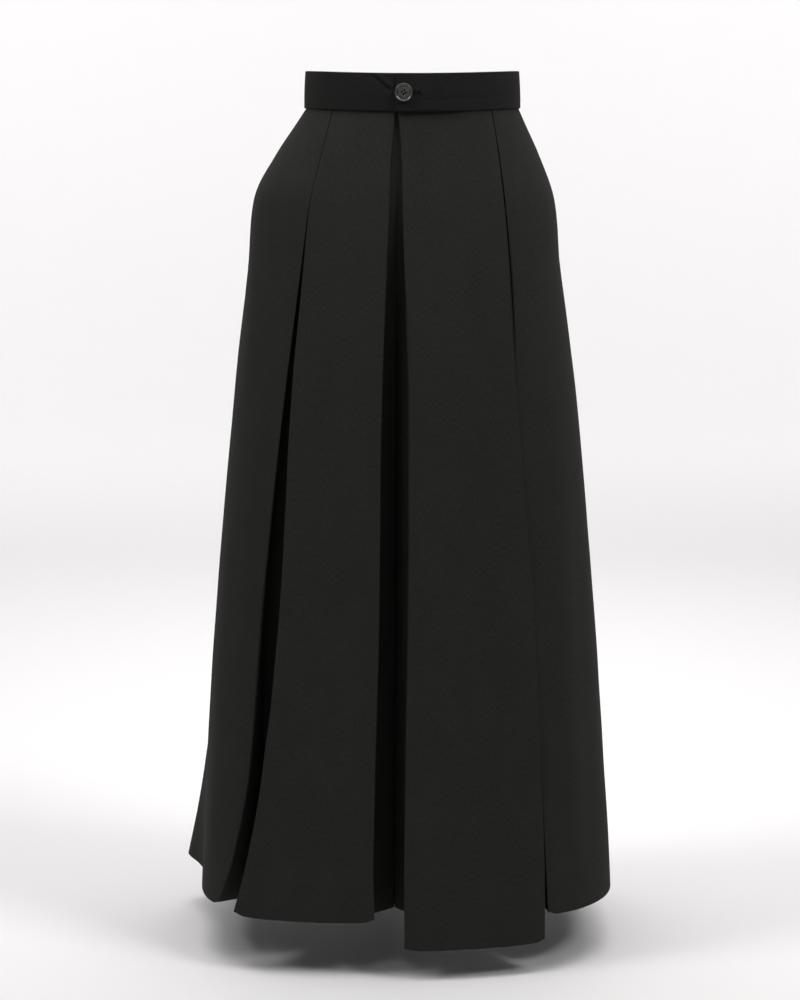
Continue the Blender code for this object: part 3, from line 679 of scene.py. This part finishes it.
def facing_path(z, side):
    """The strip inside the pocket mouth, one wall and a seam's gap inside the back and side panels."""
    oval = oval_at(z)
    seam = oval.side_length(side)
    first, last = seam + side * FACING_REACH["back"], seam - side * FACING_REACH["front"]
    points = []
    for n in range(2 * FACING_STATIONS + 1):
        length = first + (last - first) * n / (2 * FACING_STATIONS)
        points.append((oval.at(length, CLOTH_WALL + FACING_GAP), 0.0))
    return points, len(points)


def crease_height(creases, x, up):
    """Sum of the soft ridges and troughs of a table at this place."""
    total = 0.0
    for crease in creases:
        x0, up0 = crease["x0"], crease["up0"]
        dx, du = crease["x1"] - x0, crease["up1"] - up0
        long = math.hypot(dx, du)
        t = ((x - x0) * dx + (up - up0) * du) / (long * long)
        if -CREASE_END < t < 1 + CREASE_END:
            across = ((x - x0) * du - (up - up0) * dx) / long / crease["width"]
            ends = eased((t + CREASE_END) / CREASE_FADE) * eased((1 + CREASE_END - t) / CREASE_FADE)
            total += crease["height"] * math.exp(-across * across) * ends
    return total


def relief(point, back):
    """How far the cloth stands off its smooth form at this point of a panel's face."""
    settled = eased((LEVELS["waist"] - point.z) / SETTLING)
    seed = BACK_SEED if back else FRONT_SEED
    total = crease_height(BACK_CREASES if back else FRONT_CREASES, point.x, point.z)
    for layer in UNEVEN:
        place = Vector((point.x * layer["across"], point.z * layer["down"], seed + layer["seed"]))
        total += layer["height"] * noise.noise(place)
    return total * settled


def path_normals(points):
    """The sideways direction at each point of a plan path, and how far a mitre stretches it."""
    normals = []
    for n, point in enumerate(points):
        before = point - points[n - 1] if n else None
        after = points[n + 1] - point if n + 1 < len(points) else None
        sides = [Vector((d.y, -d.x)).normalized() for d in (before, after) if d is not None]
        middle = sum(sides, Vector((0.0, 0.0))).normalized()
        normals.append((middle, 1 / max(middle.dot(sides[0]), LEAST_MITRE)))
    return normals


def offsets(path, before, outward, back, wall, inside):
    """The two faces of a wall round the middle line of a path, with the creases pushed out."""
    real = list(path)
    while len(real) > before and (real[-1][0] - real[-2][0]).length < 1e-9:
        real.pop()
    line = [point for point, _ in real]
    normals = path_normals(line)
    if len(real) == before < len(path):
        straight = Vector((0.0, 1.0))
        flip = 1 if straight.dot(normals[-1][0]) > 0 else -1
        normals[-1] = (straight * flip, 1.0)
    outer, inner = [], []
    for (point, showing), (normal, stretch) in zip(real, normals):
        direction = Vector((normal.x, normal.y, 0.0)) * outward
        moved = point + direction * (relief(point, back) * showing if showing > 0 else 0.0)
        outer.append(moved + direction * (wall / 2 * stretch))
        inner.append(moved - direction * ((wall / 2 + inside) * stretch))
    return outer, inner


def row_heights(curve_z, bottom):
    """Heights of the plan sections, closer together where the crotch curve turns."""
    marks = {LEVELS["waist"], bottom}
    if curve_z is not None:
        marks |= {curve_z, LEVELS["crotch"]}
        for n in range(1, CURVE_STEPS):
            fall = math.sqrt(1 - (1 - n / CURVE_STEPS) ** 2)
            marks.add(curve_z - fall * (curve_z - LEVELS["crotch"]))
    ordered = sorted(marks, reverse=True)
    rows = []
    for high, low in zip(ordered, ordered[1:]):
        count = max(1, round((high - low) / ROW_STEP))
        rows += [high + (low - high) * n / count for n in range(count)]
    return rows + [ordered[-1]]


def hem_rows(rows):
    """Adds the close rows of a rounded edge at the hem. Returns (height, share of the wall)."""
    hem = rows[-1]
    shaped = [(z, 1.0) for z in rows[:-1]]
    for t in HEM_EDGE:
        shaped.append((hem + HEM_ROUND * (1 - t), math.sqrt(max(1 - t * t, LEAST_HEM_EDGE))))
    return shaped


def add_object(name, data):
    made = bpy.data.objects.new(name, data)
    bpy.context.scene.collection.objects.link(made)
    return made


def new_mesh(name, vertices, faces):
    mesh = bpy.data.meshes.new(name)
    mesh.from_pydata([tuple(v) for v in vertices], [], faces)
    mesh.validate()
    mesh.shade_smooth()
    return mesh


def add_piece(name, mesh, material):
    """A mesh as a piece of the trousers, with its material, hung from the root body."""
    mesh.materials.append(material)
    made = add_object(name, mesh)
    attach(made, "root")
    return made


def wall_object(name, rows, material):
    """A closed thin wall. Each row is (outer, inner, count): the two faces, and the row's full count
    of columns, of which any past the faces' own lie on their last point."""
    vertices, index, along = [], [], []
    for outer, inner, count in rows:
        first = len(vertices)
        vertices += outer + inner
        columns = [min(c, len(outer) - 1) for c in range(count)]
        index.append(([first + c for c in columns], [first + len(outer) + c for c in columns]))
        run = [0.0]
        for a, b in zip(outer, outer[1:]):
            run.append(run[-1] + (b - a).length)
        along += run + run
    faces = []

    def add_face(*corners):
        kept = [v for n, v in enumerate(corners) if v != corners[n - 1]]
        if len(set(kept)) > 2:
            faces.append(kept)

    for (outer_a, inner_a), (outer_b, inner_b) in zip(index, index[1:]):
        for c in range(len(outer_a) - 1):
            add_face(outer_a[c], outer_b[c], outer_b[c + 1], outer_a[c + 1])
            add_face(inner_a[c + 1], inner_b[c + 1], inner_b[c], inner_a[c])
        add_face(outer_a[0], inner_a[0], inner_b[0], outer_b[0])
        add_face(outer_a[-1], outer_b[-1], inner_b[-1], inner_a[-1])
    for outer, inner in (index[0], index[-1]):
        for c in range(len(outer) - 1):
            add_face(outer[c], outer[c + 1], inner[c + 1], inner[c])
    mesh = new_mesh(name, vertices, faces)
    edited = bmesh.new()
    edited.from_mesh(mesh)
    bmesh.ops.recalc_face_normals(edited, faces=edited.faces)
    edited.to_mesh(mesh)
    edited.free()
    grain = mesh.uv_layers.new(name="grain")
    for loop in mesh.loops:
        point = mesh.vertices[loop.vertex_index].co
        grain.data[loop.index].uv = (along[loop.vertex_index], point.z)
    mesh.set_sharp_from_angle(angle=SHARP_FOLD)
    return add_piece(name, mesh, material)


def drawn_in(made):
    """The points of a plan path moved a little towards the middle of the trousers."""
    return [(Vector((p.x * TOP_SHRINK, p.y * TOP_SHRINK, p.z)), showing) for p, showing in made]


def cloth_piece(name, path, side, back, curve_z, material):
    """One panel as a fine wall, its top edge turned up inside the band. Returns the object and its
    rows, for the stitches that go on it."""
    outward = side if back else -side
    rows = []
    top = [(LEVELS["waist"] + TOP_RISE, 1.0)]
    for z, share in top + hem_rows(row_heights(curve_z, LEVELS["hem"])):
        made, before = path(z, side)
        if z > LEVELS["waist"]:
            made = drawn_in(made)
        turned_up = HEM_FOLD * eased((LEVELS["hem"] + HEM_ALLOWANCE - z) / HEM_STEP)
        outer, inner = offsets(made, before, outward, back, CLOTH_WALL * share, turned_up * share)
        rows.append((outer, inner, len(made), [showing for _, showing in made]))
    piece = wall_object(name, [row[:3] for row in rows], material)
    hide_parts(name)
    return piece, rows


def facing_piece(name, side, material):
    rows = []
    for z in row_heights(None, FACING_BOTTOM):
        made, before = facing_path(z, side)
        outer, inner = offsets(made, before, -side, False, CLOTH_WALL, 0.0)
        rows.append((outer, inner, len(made)))
    piece = wall_object(name, rows, material)
    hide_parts(name)
    return piece


def band_point(oval, length, whole, height):
    """The middle of the waistband at this arc length and height above its middle, and its outward
    direction. The end that laps on top lies past half way round."""
    on_top = length < -whole / 2
    around = length + whole if on_top else length
    x = oval.at(around).x
    rise = eased((LAP_START_X - x) / (LAP_START_X - LAP_RISE_X)) if on_top and x < LAP_START_X else 0.0
    flare = -BAND_FLARE * height / BAND_HEIGHT
    belly = BAND_BELLY * math.cos(math.pi * height / BAND_HEIGHT)
    out = BAND_PROUD + flare + belly + rise * (BAND_WALL + LAP_CLEARANCE)
    if on_top or around <= LAP_END_X - UNDERLAP_COVER:
        waver = Vector((length * BAND_WAVER["along"], height * BAND_WAVER["up"], BAND_WAVER["seed"]))
        out += crease_height(BAND_CREASES, x, height) if oval.at(around).y < 0 else 0.0
        out += BAND_WAVER["height"] * noise.noise(waver)
    point = oval.at(around, -out)
    point.z += height - LEVELS["waist"]
    turned = oval.outward(oval.turn_at(around))
    return point, Vector((turned.x, turned.y, 0.0))


def band_profile():
    """(height, half wall) pairs down the band, whose top and bottom edges are rounded."""
    edge = []
    for n in range(BAND_ROUND_STEPS + 1):
        turn = math.pi / 2 * n / BAND_ROUND_STEPS
        share = max(math.sin(turn), LEAST_BAND_EDGE)
        edge.append((BAND_ROUND * (1 - math.cos(turn)), BAND_WALL / 2 * share))
    top = [(BAND_HEIGHT / 2 - down, half) for down, half in edge]
    bottom = [(-BAND_HEIGHT / 2 + up, half) for up, half in reversed(edge)]
    heights = [BAND_HEIGHT / 2 - BAND_HEIGHT * n / BAND_ROWS for n in range(BAND_ROWS + 1)]
    middle = [(z, BAND_WALL / 2) for z in heights if abs(z) < BAND_HEIGHT / 2 - BAND_ROUND]
    return top + middle + bottom


def waistband_piece(material):
    oval = oval_at(LEVELS["waist"])
    start = oval.length_at_x(UNDERLAP_END_X)
    whole = 2 * oval.length_at_turn(math.pi)
    end = oval.length_at_x(LAP_END_X) - whole
    rows = []
    for height, half in band_profile():
        outer, inner = [], []
        for n in range(BAND_STEPS + 1):
            length = start + (end - start) * crowded(n / BAND_STEPS)
            near_end = min(n, BAND_STEPS - n, BAND_END_STEPS) / BAND_END_STEPS
            share = max(math.sqrt(1 - (1 - near_end) ** 2), LEAST_BAND_END)
            point, out = band_point(oval, length, whole, height)
            outer.append(point + out * half * share)
            inner.append(point - out * half * share)
        rows.append((outer, inner, BAND_STEPS + 1))
    piece = wall_object("waistband", rows, material)
    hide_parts("waistband")
    return piece


def band_front(x, height, lift):
    """A point on the outside of the band's top lap, at x across and this height, and its outward
    direction."""
    oval = oval_at(LEVELS["waist"])
    whole = 2 * oval.length_at_turn(math.pi)
    point, out = band_point(oval, oval.length_at_x(x) - whole, whole, height)
    return point + out * (BAND_WALL / 2 + lift), out


def thread_piece(name, paths, radius, material, sides):
    """Round threads through lists of points, all in one piece."""
    vertices, faces = [], []
    for path in paths:
        rings = []
        for n, point in enumerate(path):
            ahead = path[min(n + 1, len(path) - 1)] - path[max(n - 1, 0)]
            turn = ahead.to_track_quat("Z", "Y")
            ring = []
            for side in range(sides):
                angle = 2 * math.pi * side / sides
                around = Vector((math.cos(angle), math.sin(angle), 0.0)) * radius
                ring.append(len(vertices))
                vertices.append(point + turn @ around)
            rings.append(ring)
        for a, b in zip(rings, rings[1:]):
            for side in range(sides):
                following = (side + 1) % sides
                faces.append((a[side], a[following], b[following], b[side]))
        faces.append(tuple(reversed(rings[0])))
        faces.append(tuple(rings[-1]))
    return add_piece(name, new_mesh(name, vertices, faces), material)


def button_frame():
    """Where the button sits: its middle's place on the band, and its turned directions."""
    point, out = band_front(BUTTON_X, 0.0, SEAM_GAP)
    point.z = BUTTON_Z
    turn = out.to_track_quat("Z", "Y").to_matrix().to_4x4()
    return Matrix.Translation(point) @ turn


def button_piece(material):
    thick = BUTTON_THICKNESS
    edited = bmesh.new()
    line = [edited.verts.new((BUTTON_RADIUS * r, 0.0, thick * h)) for r, h in BUTTON_PROFILE]
    edges = [edited.edges.new(pair) for pair in zip(line, line[1:])]
    whole_turn = {"axis": (0, 0, 1), "cent": (0, 0, 0), "steps": BUTTON_SIDES, "angle": 2 * math.pi}
    bmesh.ops.spin(edited, geom=line + edges, **whole_turn)
    bmesh.ops.remove_doubles(edited, verts=edited.verts, dist=1e-6)
    bmesh.ops.recalc_face_normals(edited, faces=edited.faces)
    mesh = bpy.data.meshes.new("button_dressed")
    edited.to_mesh(mesh)
    edited.free()
    mesh.shade_smooth()
    mesh.set_sharp_from_angle(angle=BUTTON_SHARP)
    made = add_object("button_dressed", mesh)
    cutters = []
    for n in range(4):
        angle = BUTTON_TURN + n * math.pi / 2
        bpy.ops.mesh.primitive_cylinder_add(
            vertices=DRILL_SIDES, radius=BUTTON_HOLE_RADIUS, depth=4 * thick
        )
        cutter = bpy.context.active_object
        x, y = BUTTON_HOLE_REACH * math.cos(angle), BUTTON_HOLE_REACH * math.sin(angle)
        cutter.location = (x, y, thick / 2)
        drill = made.modifiers.new(f"hole_{n + 1}", "BOOLEAN")
        drill.object = cutter
        drill.operation = "DIFFERENCE"
        drill.solver = "EXACT"
        cutters.append(cutter)
    bpy.context.view_layer.update()
    solid = made.evaluated_get(bpy.context.evaluated_depsgraph_get())
    drilled = bpy.data.meshes.new_from_object(solid)
    for old in cutters + [made]:
        bpy.data.objects.remove(old)
    # Radius and height shares across the button, which place its painted shade
    rings = drilled.uv_layers.new(name="rings")
    for loop in drilled.loops:
        place = drilled.vertices[loop.vertex_index].co
        rings.data[loop.index].uv = (math.hypot(place.x, place.y) / BUTTON_RADIUS, place.z / thick)
    drilled.transform(button_frame())
    drilled.materials.clear()
    piece = add_piece("button_disc", drilled, material)
    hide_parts("button")


def button_threads(material):
    """Thread through the four holes, crossed, with a few strands side by side."""
    place = button_frame()
    top = BUTTON_THICKNESS - BUTTON_DISH
    paths = []
    for pair in (0, 1):
        angle = BUTTON_TURN + pair * math.pi / 2
        along = Vector((math.cos(angle), math.sin(angle), 0.0))
        across = Vector((-along.y, along.x, 0.0))
        for strand in (-1, 1):
            path = []
            for n in range(THREAD_STEPS + 1):
                t = -1 + 2 * n / THREAD_STEPS
                sink = max(abs(t) - THREAD_SINK["from"], 0.0) * THREAD_SINK["slope"]
                bow = THREAD_RADIUS * (THREAD_BOW["first"] + THREAD_BOW["more"] * pair) * (1 - t * t)
                spot = along * (BUTTON_HOLE_REACH * THREAD_REACH * t)
                spot += across * (strand * THREAD_RADIUS * THREAD_SPACING)
                spot.z = top + THREAD_RADIUS * 0.5 + bow - sink
                path.append(place @ spot)
            paths.append(path)
    return thread_piece("button_thread", paths, THREAD_RADIUS, material, THREAD_SIDES)


def buttonhole_threads(material):
    """Close stitches along both sides of the buttonhole."""
    paths = []
    length = HOLE_END_X - HOLE_START_X
    count = int(length / HOLE_STITCH_SPACING)
    for side in (-1, 1):
        for n in range(count + 1):
            x = HOLE_START_X + length * n / count
            ends = [(side * HOLE_HALF_WIDTH * share, lift) for share, lift in HOLE_STITCH]
            paths.append([band_front(x, height, lift)[0] for height, lift in ends])
    return thread_piece("buttonhole", paths, HOLE_STITCH_RADIUS, material, STITCH_SIDES)


def buttonhole_slit_shade(material):
    """Painted shade of the cut between the stitches and of its pulled end, as near-black tubes. Between
    the button's edge and that end the stitches meet over the cut."""
    last = BUTTON_X + BUTTON_RADIUS
    lines = [((HOLE_START_X, 0.0), (last, 0.0), SLIT_STEPS, SLIT_LIFT)]
    lines += [(a, b, MOUTH_STEPS, MOUTH_LIFT) for a, b in zip(HOLE_MOUTH, HOLE_MOUTH[1:])]
    paths = []
    for (x0, h0), (x1, h1), steps, lift in lines:
        path = []
        for n in range(steps + 1):
            path.append(band_front(x0 + (x1 - x0) * n / steps, h0 + (h1 - h0) * n / steps, lift)[0])
        paths.append(path)
    return thread_piece("buttonhole_slit_shade", paths, SLIT_RADIUS, material, SLIT_SIDES)


def hem_stitches(name, rows, material):
    """Small blind stitches in a row above the hem, where the turned-up edge is caught."""
    level = min(range(len(rows)), key=lambda n: abs(rows[n][0][0].z - LEVELS["hem"] - HEM_ALLOWANCE))
    outer, inner, _, showing = rows[level]
    paths = []
    travelled = 0.0
    for n in range(1, len(outer)):
        step = outer[n] - outer[n - 1]
        travelled += step.length
        if travelled < HEM_STITCH["spacing"] or min(showing[n - 1], showing[n]) < SHOWS:
            continue
        travelled = 0.0
        lift = (outer[n] - inner[n]).normalized() * HEM_STITCH["lift"]
        along = step.normalized() * HEM_STITCH["reach"]
        middle = outer[n] + lift * HEM_STITCH["arch"]
        paths.append([outer[n] - along + lift, middle, outer[n] + along + lift])
    return thread_piece(f"{name}_hem_stitches", paths, HEM_STITCH["radius"], material, STITCH_SIDES)


def bar_tack(name, side, material):
    """Close threads across the side seam at the bottom of a pocket mouth."""
    paths = []
    for n in range(TACK["threads"]):
        z = POCKET_BOTTOM - TACK["drop"] + TACK["spacing"] * n
        oval = oval_at(z)
        seam = oval.side_length(side)
        out = (oval.at(seam, -1.0) - oval.at(seam)).normalized()
        path = []
        for step in range(TACK["steps"] + 1):
            t = step / TACK["steps"]
            lift = CLOTH_WALL / 2 + TACK_LIFT["ends"] + TACK_LIFT["middle"] * math.sin(math.pi * t)
            point = oval.at(seam + (2 * t - 1) * TACK["half"], -lift)
            path.append(point + out * relief(point, False))
        paths.append(path)
    return thread_piece(name, paths, TACK_RADIUS, material, STITCH_SIDES)


def new_material(name):
    """A new material, its node tree and its shader."""
    material = bpy.data.materials.new(name)
    material.use_nodes = True
    tree = material.node_tree
    return material, tree, tree.nodes["Principled BSDF"]


def set_inputs(tree, node, inputs):
    """Sets a node's inputs to numbers, or joins other nodes' outputs to them."""
    for name, value in inputs.items():
        if isinstance(value, bpy.types.NodeSocket):
            tree.links.new(value, node.inputs[name])
        else:
            node.inputs[name].default_value = value


def add_node(tree, kind, inputs):
    made = tree.nodes.new(f"ShaderNode{kind}")
    set_inputs(tree, made, inputs)
    return made


def combined(tree, operation, a, b):
    made = add_node(tree, "Math", {0: a, 1: b})
    made.operation = operation
    return made.outputs[0]


def weighted(tree, value, share, base):
    """share * value + base"""
    return combined(tree, "ADD", combined(tree, "MULTIPLY", value, share), base)


def uv_of(tree, name):
    made = add_node(tree, "UVMap", {})
    made.uv_map = name
    return made.outputs["UV"]


def place_on_object(tree):
    return add_node(tree, "TexCoord", {}).outputs["Object"]


def add_noise(tree, place, stretch, detail=2.0):
    scaled = add_node(tree, "Mapping", {"Vector": place, "Scale": stretch}).outputs[0]
    return add_node(tree, "TexNoise", {"Vector": scaled, "Scale": 1.0, "Detail": detail}).outputs[0]


def add_ramp(tree, value, stops):
    """Colours over a value. Each stop is (place, (red, green, blue))."""
    made = add_node(tree, "ValToRGB", {0: value})
    elements = made.color_ramp.elements
    for place, _ in stops[1:-1]:
        elements.new(place)
    for element, (place, colour) in zip(elements, stops):
        element.position = place
        element.color = (*colour, 1.0)
    return made.outputs[0]


def add_bump(tree, height, strength, distance):
    return add_node(tree, "Bump", {"Strength": strength, "Distance": distance, "Height": height}).outputs[0]


def twill_material(name, dark, light, roughness):
    """Fine twill: diagonal ribs over the grain, slubs along the length, and patches that hold the
    light a little differently."""
    material, tree, shader = new_material(name)
    grain = uv_of(tree, "grain")
    along, up, _ = add_node(tree, "SeparateXYZ", {0: grain}).outputs
    diagonal = weighted(tree, up, RIB_SLANT, along)
    phase = combined(tree, "MULTIPLY", diagonal, 2 * math.pi * RIBS_PER_METRE)
    ribs = combined(tree, "SINE", phase, 0.0)
    yarn = add_noise(tree, grain, YARN_STRETCH, 3.0)
    patches = add_noise(tree, place_on_object(tree), PATCH_STRETCH, 4.0)
    weave = combined(tree, "MULTIPLY", ribs, TWILL_SHARES["ribs"])
    mixed = weighted(tree, yarn, TWILL_SHARES["yarn"], weave)
    mixed = weighted(tree, patches, TWILL_SHARES["patches"], mixed)
    set_inputs(tree, shader, {
        "Base Color": add_ramp(tree, mixed, [(0.22, dark), (0.82, light)]),
        "Roughness": weighted(tree, patches, 0.12, roughness - 0.06),
        "Normal": add_bump(tree, weighted(tree, ribs, 0.5, yarn), 0.35, 0.00012),
        "Sheen Weight": 0.02,
        "Sheen Roughness": 0.7,
        "Sheen Tint": SHEEN_TINT,
        "Specular IOR Level": 0.05,
    })
    return material


def thread_material():
    material, tree, shader = new_material("black_thread")
    place = place_on_object(tree)
    twist = add_node(tree, "TexWave", {"Vector": place, "Scale": 900.0, "Distortion": 1.5}).outputs[0]
    set_inputs(tree, shader, {
        "Base Color": add_ramp(tree, twist, [(0.0, (0.007, 0.007, 0.007)), (1.0, (0.016, 0.016, 0.015))]),
        "Roughness": 0.85,
        "Specular IOR Level": 0.10,
    })
    return material


def slit_shade_material():
    """Painted shade inside the buttonhole's cut: a near-black colour for the tubes laid in it."""
    material, tree, shader = new_material("buttonhole_shade")
    shade_noise = add_noise(tree, place_on_object(tree), (2500.0, 2500.0, 2500.0))
    set_inputs(tree, shader, {
        "Base Color": add_ramp(tree, shade_noise, [(0.0, [0.0008] * 3), (1.0, [0.0024] * 3)]),
        "Roughness": 0.95,
        "Specular IOR Level": 0.02,
    })
    return material


def button_material():
    """Dark grey moulded plastic with a faint cloud and a satin face, with painted shade in the groove
    and a painted dark outline round the edge."""
    material, tree, shader = new_material("dark_plastic")
    place = place_on_object(tree)
    cloud = add_noise(tree, place, (260.0, 260.0, 260.0), 5.0)
    clouded = add_ramp(tree, cloud, [(0.3, (0.044, 0.050, 0.045)), (0.75, (0.078, 0.087, 0.078))])
    away = add_node(tree, "SeparateXYZ", {0: uv_of(tree, "rings")}).outputs[0]
    # Painted shade: darker in the groove and round the edge, by the radius share in the rings map
    painted_shade = add_ramp(tree, away, [(share, [shade] * 3) for share, shade in BUTTON_PAINTED_SHADE])
    mixed = add_node(tree, "Mix", {})
    mixed.data_type = "RGBA"
    mixed.blend_type = "MULTIPLY"
    set_inputs(tree, mixed, {"Factor": 1.0, "A": clouded, "B": painted_shade})
    fine = add_noise(tree, place, (1500.0, 1500.0, 1500.0))
    set_inputs(tree, shader, {
        "Base Color": mixed.outputs["Result"],
        "Roughness": weighted(tree, cloud, 0.12, 0.26),
        "Normal": add_bump(tree, fine, 0.08, 0.00005),
    })
    return material


def room_material():
    material, tree, shader = new_material("pale_sweep")
    look = {"Base Color": (0.870, 0.850, 0.857, 1.0), "Roughness": 0.9, "Specular IOR Level": 0.1}
    set_inputs(tree, shader, look)
    return material


def add_room(material):
    """A plain pale floor that sweeps up into a wall far behind."""
    corner, radius = SWEEP["corner"], SWEEP["radius"]
    profile = [(SWEEP["front"], 0.0), (corner, 0.0)]
    for n in range(1, SWEEP["steps"] + 1):
        turn = math.pi / 2 * n / SWEEP["steps"]
        profile.append((corner + radius * math.sin(turn), radius * (1 - math.cos(turn))))
    profile.append((corner + radius, SWEEP["top"]))
    vertices = [(x, y, FLOOR_Z + z) for y, z in profile for x in (-SWEEP["half"], SWEEP["half"])]
    faces = [(2 * n, 2 * n + 1, 2 * n + 3, 2 * n + 2) for n in range(len(profile) - 1)]
    mesh = new_mesh("sweep", vertices, faces)
    mesh.materials.append(material)
    add_object("sweep", mesh)


def add_area_light(name, place, target, size, spread, power):
    data = bpy.data.lights.new(name, "AREA")
    data.shape = "RECTANGLE"
    data.size, data.size_y = size
    data.spread = math.radians(spread)
    data.energy = power
    made = add_object(name, data)
    made.location = place
    made.rotation_euler = (Vector(target) - Vector(place)).to_track_quat("-Z", "Y").to_euler()


def add_lights():
    for light in LIGHTS:
        add_area_light(**light)
    world = bpy.data.worlds.new("studio")
    world.use_nodes = True
    shade = world.node_tree.nodes["Background"]
    set_inputs(world.node_tree, shade, {"Color": (1.0, 1.0, 1.0, 1.0), "Strength": WORLD_STRENGTH})
    bpy.context.scene.world = world
    bpy.context.scene.view_settings.view_transform = "Standard"


def add_camera():
    data = bpy.data.cameras.new("camera")
    data.lens = CAMERA_LENS
    data.sensor_width = CAMERA_SENSOR
    data.clip_end = 60.0
    made = add_object("camera", data)
    made.location = CAMERA_PLACE
    made.rotation_euler = (math.radians(90 - CAMERA_PITCH), 0.0, 0.0)
    bpy.context.scene.camera = made


def main():
    cloth = twill_material("black_twill", (0.0134, 0.0137, 0.0122), (0.0310, 0.0317, 0.0282), 0.95)
    band_cloth = twill_material(
        "black_band_twill", (0.0088, 0.0089, 0.0087), (0.0194, 0.0196, 0.0190), 0.92
    )
    thread = thread_material()
    band = waistband_piece(band_cloth)
    button_piece(button_material())
    holds = [button_threads(thread), buttonhole_threads(thread), buttonhole_slit_shade(slit_shade_material())]
    for side, name in SIDE_NAMES.items():
        kinds = (
            (f"side_front_{name}", side_front_path, False, None),
            (f"front_{name}", front_path, False, FRONT_CURVE_Z),
            (f"back_{name}", back_path, True, BACK_CURVE_Z),
        )
        for piece_name, path, back, curve_z in kinds:
            piece, rows = cloth_piece(piece_name, path, side, back, curve_z, cloth)
            stitches = [hem_stitches(piece_name, rows, thread)]
            if path is back_path:
                stitches.append(bar_tack(f"pocket_tack_{name}", side, thread))
        facing = facing_piece(f"pocket_facing_{name}", side, cloth)


main()
add_room(room_material())
add_lights()
add_camera()
